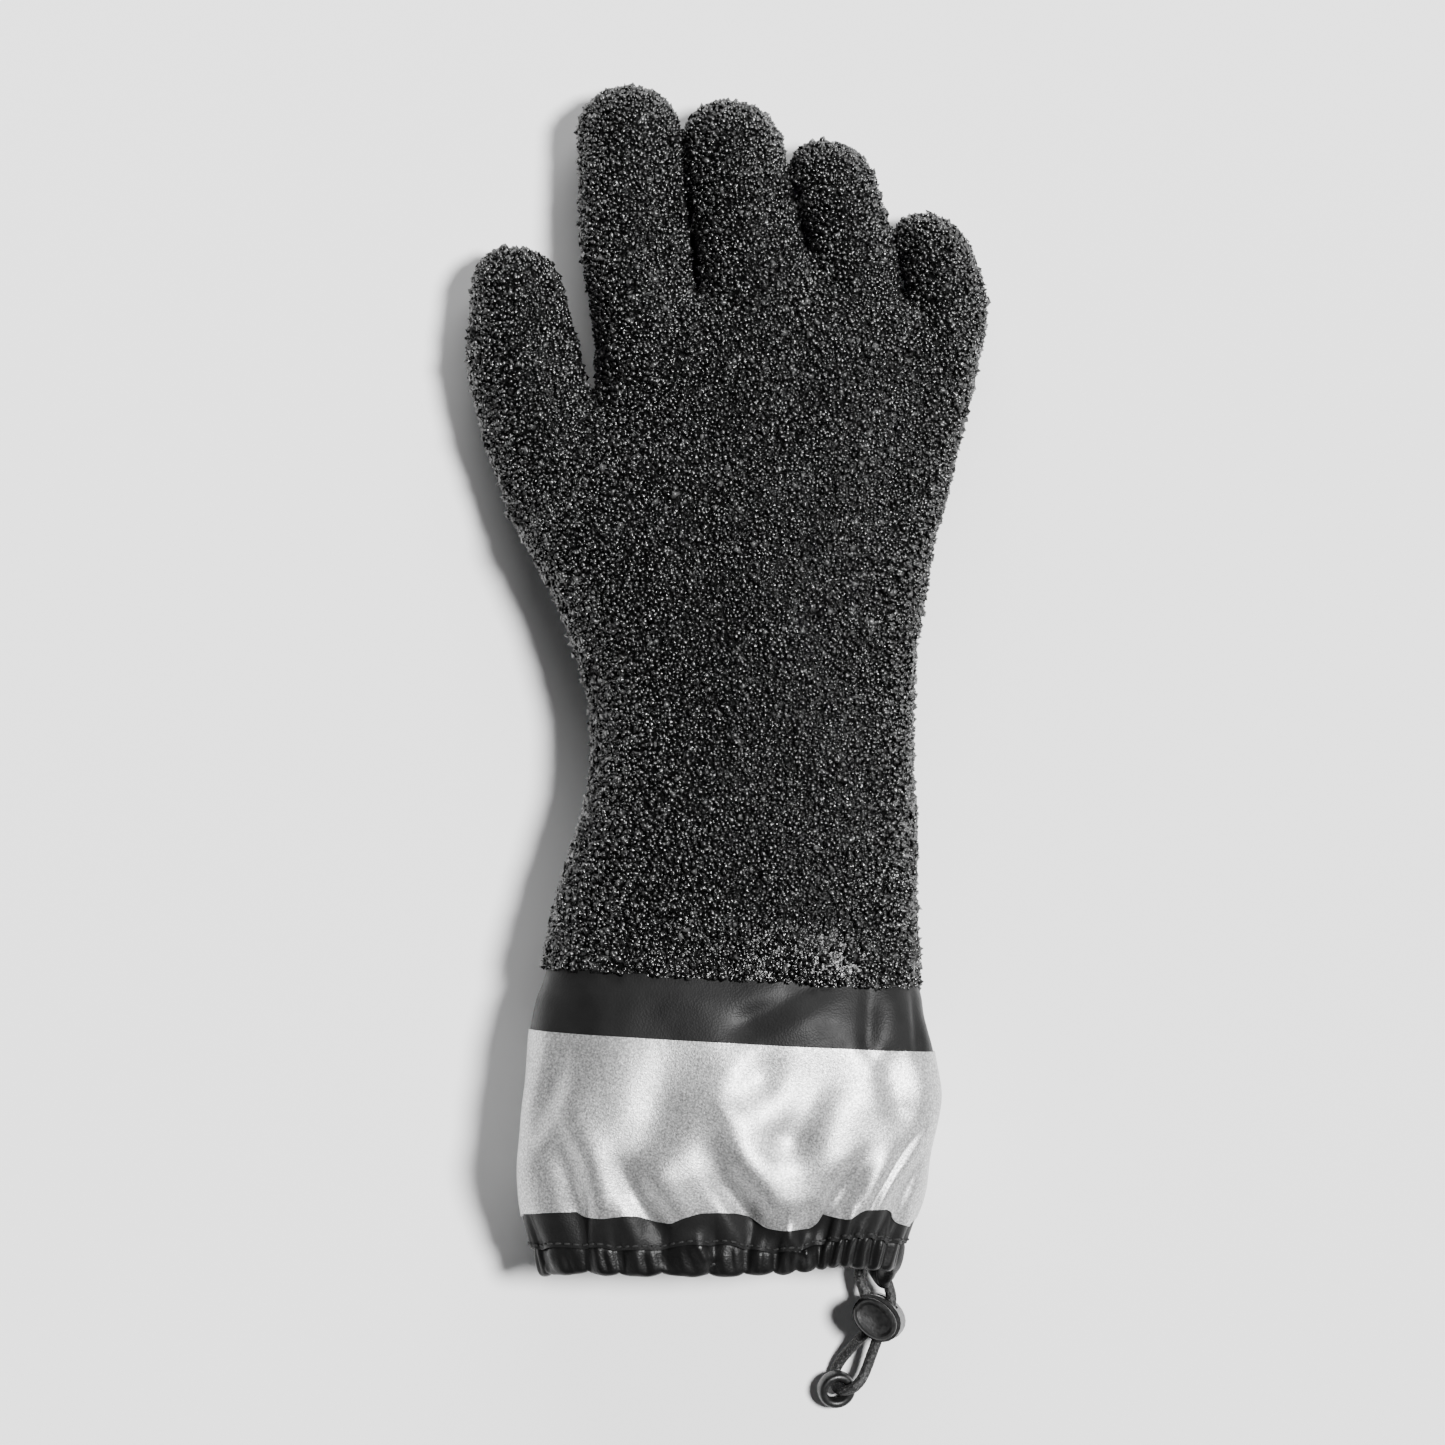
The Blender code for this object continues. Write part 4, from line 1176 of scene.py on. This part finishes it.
def make_hem():
    quads = loop_quads(HEM_SAMPLES, CUFF_COLUMNS)[:, ::-1]
    finish = cloth_finish("hem_coated", 0.004, (0.36, 0.5), 0.2)
    hem = mesh_object("hem_cloth", hem_points().reshape(-1, 3), quads, finish)
    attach(hem, "gauntlet")
    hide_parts("hem_channel")
    return hem


def stitches(name, line, node, finish):
    """A row of single stitches along a closed line of points in mm, with their outward directions."""
    closed, outs = (np.vstack([table, table[:1]]) for table in line)
    travelled = travel(closed)
    turn = 2 * np.pi * np.arange(THREAD_SIDES) / THREAD_SIDES

    def at(table, place):
        return np.array([np.interp(place, travelled, table[:, k]) for k in range(3)])

    stacks = []
    for k in range(int(travelled[-1] / STITCH_PITCH)):
        middle = k * STITCH_PITCH + STITCH_PITCH / 2
        rings = []
        for share in np.linspace(-1, 1, 9):
            place = np.clip(middle + share * STITCH_LONG / 2, 0, travelled[-1])
            centre = at(closed, place)
            out = at(outs, place)
            along = at(closed, min(place + 0.4, travelled[-1])) - at(closed, max(place - 0.4, 0))
            side = np.cross(along, out)
            side /= np.linalg.norm(side)
            radius = THREAD / 2 * max(1 - share**4, 0.05) ** 0.5
            centre = centre + out * (THREAD_OUT - THREAD_DIVE * share**4)
            rings.append(centre + radius * (np.cos(turn)[:, None] * side + np.sin(turn)[:, None] * out))
        stacks.append(rings)
    obj = stacked_object(name, stacks, finish)
    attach(obj, "gauntlet")
    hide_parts(node)


def seam_line(y, out):
    """A closed line on the cuff at heights y, and its outward directions."""
    relief = gather(y) + out
    spots = cuff_points(y, relief)
    spots = spots + wander_cuff(spots)
    outward = cuff_points(y, relief + 1.0) - cuff_points(y, relief)
    return resting(spots, 0.6)[0], outward[0]


def make_stitching():
    """The rows of stitches above the hem and at the coat's edge."""
    thread = thread_finish()
    above, out = HEM_STITCHES
    y = (STITCH_Y + stitch_wave() + above)[None, :]
    stitches("hem_stitches", seam_line(y, out), "hem_stitching", thread)
    above, out = JOIN_STITCHES
    y = (COAT_EDGE[0] + above + COAT_EDGE[1] * columns_x(SLEEVE_TOP_Y))[None, :]
    stitches("join_stitches", seam_line(y, out), "join_stitching", thread)


def make_tape():
    """The tape that bonds the arm's end to the sleeve, hidden between them."""
    y = np.linspace(*TAPE_SPAN, TAPE_ROWS)[:, None] * np.ones((1, CUFF_COLUMNS))
    outer = resting(cuff_points(y, TAPE_OUT), TAPE_LOW).reshape(-1, 3)
    inner = resting(cuff_points(y, TAPE_OUT - TAPE_THICK), TAPE_LOW + TAPE_THICK).reshape(-1, 3)
    tape = layered("bond_strip", outer, inner, grid_quads(*y.shape)[:, ::-1], tape_finish())
    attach(tape, "gauntlet")
    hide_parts("bonding_tape")


# ---------------- cord, lock and ring

CORD_DIAMETER = 3.3
CORD_ROUTE = (  # out of the hem, through the lock, through the end ring and back: mm
    (44.6, -199.55, 7.4), (45.5, -202.75, 7.9), (46.6, -206.15, 8.5), (47.1, -210.15, 8.8),
    (47.0, -214.35, 8.75), (46.4, -218.15, 8.35), (43.8, -221.55, 6.6), (41.0, -224.75, 4.6),
    (38.2, -228.35, 2.9), (36.4, -231.95, 1.9), (36.4, -235.35, 2.3), (37.4, -237.55, 4.3),
    (39.5, -237.95, 6.9), (42.5, -236.95, 8.2), (44.9, -234.55, 8.1), (46.7, -231.15, 7.6),
    (48.6, -225.95, 8.2), (50.2, -221.55, 9.0), (51.7, -217.75, 9.5), (53.4, -213.95, 9.8),
    (54.8, -210.15, 10.0), (55.2, -206.35, 10.3), (54.4, -202.75, 11.0), (53.2, -199.55, 12.0),
)
CORD_STEP = 0.33
HEM_CORD_STEP = 0.6
HEM_CORD_OUT = -4.2  # from the cuff's face to the middle of the cord inside the hem
HEM_CORD_DOWN = 0.55  # share of the way down the channel
HEM_CORD_EVERY = 12  # columns from one point of its route to the next
WAY_OUT = (22.0, 24.0)  # it has left the channel past this far left of the exit and under this height
CORD_SIDES = 32
STRANDS = 8
BRAID_PITCH = 3.4
BRAID_DEPTH = 0.34


def smooth_route(route, step):
    """(points at even steps, length) of a smooth curve through route."""
    points = np.array(route)
    ahead = np.vstack([2 * points[0] - points[1], points, 2 * points[-1] - points[-2]])
    curve = []
    for k in range(1, len(ahead) - 2):
        p0, p1, p2, p3 = ahead[k - 1 : k + 3]
        for t in np.linspace(0, 1, 20, endpoint=False):
            straight = 2 * p1 + (p2 - p0) * t
            bend = (2 * p0 - 5 * p1 + 4 * p2 - p3) * t**2 + (3 * p1 - p0 - 3 * p2 + p3) * t**3
            curve.append((straight + bend) / 2)
    curve = np.array([*curve, points[-1]])
    travelled = travel(curve)
    places = np.linspace(0, travelled[-1], int(travelled[-1] / step))
    return np.stack([np.interp(places, travelled, curve[:, k]) for k in range(3)], 1), travelled[-1]


def sweep_frames(centres):
    """Two directions across a curve at each centre, carried along without twist."""
    along = np.gradient(centres, axis=0)
    along /= np.linalg.norm(along, axis=1)[:, None]
    side = np.cross(along[0], (0.0, 0.0, 1.0))
    sides = []
    for direction in along:
        side = side - direction * (side @ direction)
        side = side / np.linalg.norm(side)
        sides.append(side)
    sides = np.array(sides)
    return sides, np.cross(along, sides)


def braided(name, centres, finish):
    """A cord along centres, with the relief of its crossing strands."""
    sides, ups = sweep_frames(centres)
    turn = 2 * np.pi * np.arange(CORD_SIDES) / CORD_SIDES
    wind = np.pi * travel(centres)[:, None] / BRAID_PITCH
    first = np.abs(np.sin(STRANDS / 2 * turn + wind))
    second = np.abs(np.sin(STRANDS / 2 * turn - wind))
    radius = CORD_DIAMETER / 2 + BRAID_DEPTH * (np.maximum(first, second) - 0.5)
    circle = np.cos(turn)[None, :, None] * sides[:, None] + np.sin(turn)[None, :, None] * ups[:, None]
    cord = stacked_object(name, [centres[:, None] + radius[..., None] * circle], finish)
    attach(cord, "gauntlet")
    return cord


def make_cord(finish):
    """The free loop of the cord."""
    centres, length = smooth_route(CORD_ROUTE, CORD_STEP)
    cord = braided("cord_loop", centres, finish)
    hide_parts("drawcord_loop")
    return cord, centres, length


def make_hem_cord(finish):
    """The stretch of the cord that runs inside the channel, out to where the loop starts and ends."""
    start, end = hem_span()
    y = averaged(start + HEM_CORD_DOWN * (end - start), np.full(51, 1 / 51))[None]
    line = cuff_points(y, HEM_CORD_OUT)[0]
    line[:, 2] = np.maximum(line[:, 2], CORD_DIAMETER / 2 + 1.0)
    way_out = (line[:, 0] > EXIT_X - WAY_OUT[0]) & (line[:, 2] < WAY_OUT[1])
    first = np.flatnonzero(way_out & ~np.roll(way_out, -1))[0] + 1
    kept = np.roll(line, -first, axis=0)[: np.count_nonzero(~way_out) : HEM_CORD_EVERY]
    last, start = CORD_ROUTE[-1], CORD_ROUTE[0]
    route = [last, (last[0] + 1.0, last[1] + 4.0, last[2] + 2.5), *kept]
    route += [(start[0] - 1.2, start[1] + 4.0, start[2] - 1.0), start]
    centres, _ = smooth_route(route, HEM_CORD_STEP)
    cord = braided("cord_in_hem", centres, finish)
    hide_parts("drawcord_hem")


def rounded(node, name, finish, width):
    """A copy of a hard CAD part with its edges rounded over, which stands for it."""
    made = placed(name, frame["nodes"][node].data.copy())
    bevel = made.modifiers.new("edges", "BEVEL")
    bevel.width = width * MM
    bevel.segments = 3
    bevel.limit_method = "ANGLE"
    bevel.angle_limit = math.radians(35)
    settled(made)
    made.data.materials.clear()
    made.data.materials.append(finish)
    made.data.shade_smooth()
    made.data.set_sharp_from_angle(angle=math.radians(40))
    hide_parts(node)
    return made


RING_HOLE = 3.3
RING_WALL = 3.15
RING_LONG = 5.4
RING_POWER = 2.7
RING_SIDES = 32
RING_STEPS = 72


def make_ring(finish):
    """The turned end ring, laid where the CAD ring lies."""
    points = mesh_points(frame["nodes"]["cord_end_ring"].data)
    centre = points.mean(0)
    _, _, axes = np.linalg.svd(points - centre)
    profile = oval(RING_SIDES, RING_WALL / 2, RING_LONG / 2, RING_POWER)
    rings = []
    for turn in np.linspace(0, 2 * np.pi, RING_STEPS, endpoint=False):
        across = math.cos(turn) * axes[0] + math.sin(turn) * axes[1]
        radius = RING_HOLE + RING_WALL / 2 + profile[:, :1]
        rings.append(centre + radius * across + profile[:, 1:] * axes[2])
    rings = np.array(rings)
    rings[..., 2] = np.maximum(rings[..., 2], 0.05)
    ring = mesh_object("end_ring", rings.reshape(-1, 3), loop_quads(RING_STEPS, RING_SIDES), finish)
    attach(ring, "gauntlet")
    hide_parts("cord_end_ring")
    return ring


def refinish(node, finish):
    for slot in frame["nodes"][node].material_slots:
        slot.material = finish


def make_trim():
    braid = cord_finish()
    plastic = plastic_finish()
    cord, centres, length = make_cord(braid)
    barrel = rounded("cord_lock_barrel", "lock_barrel", plastic, 0.4)
    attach(barrel, "cord_lock")
    button = rounded("cord_lock_plunger", "lock_button", plastic, 0.35)
    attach(button, "cord_lock_button")
    ring = make_ring(plastic)
    refinish("cord_lock_spring", steel_finish())
    make_hem_cord(braid)


make_camera()
make_trim()
make_studio()
make_hand()
make_sleeve(make_hem())
make_stitching()
make_tape()
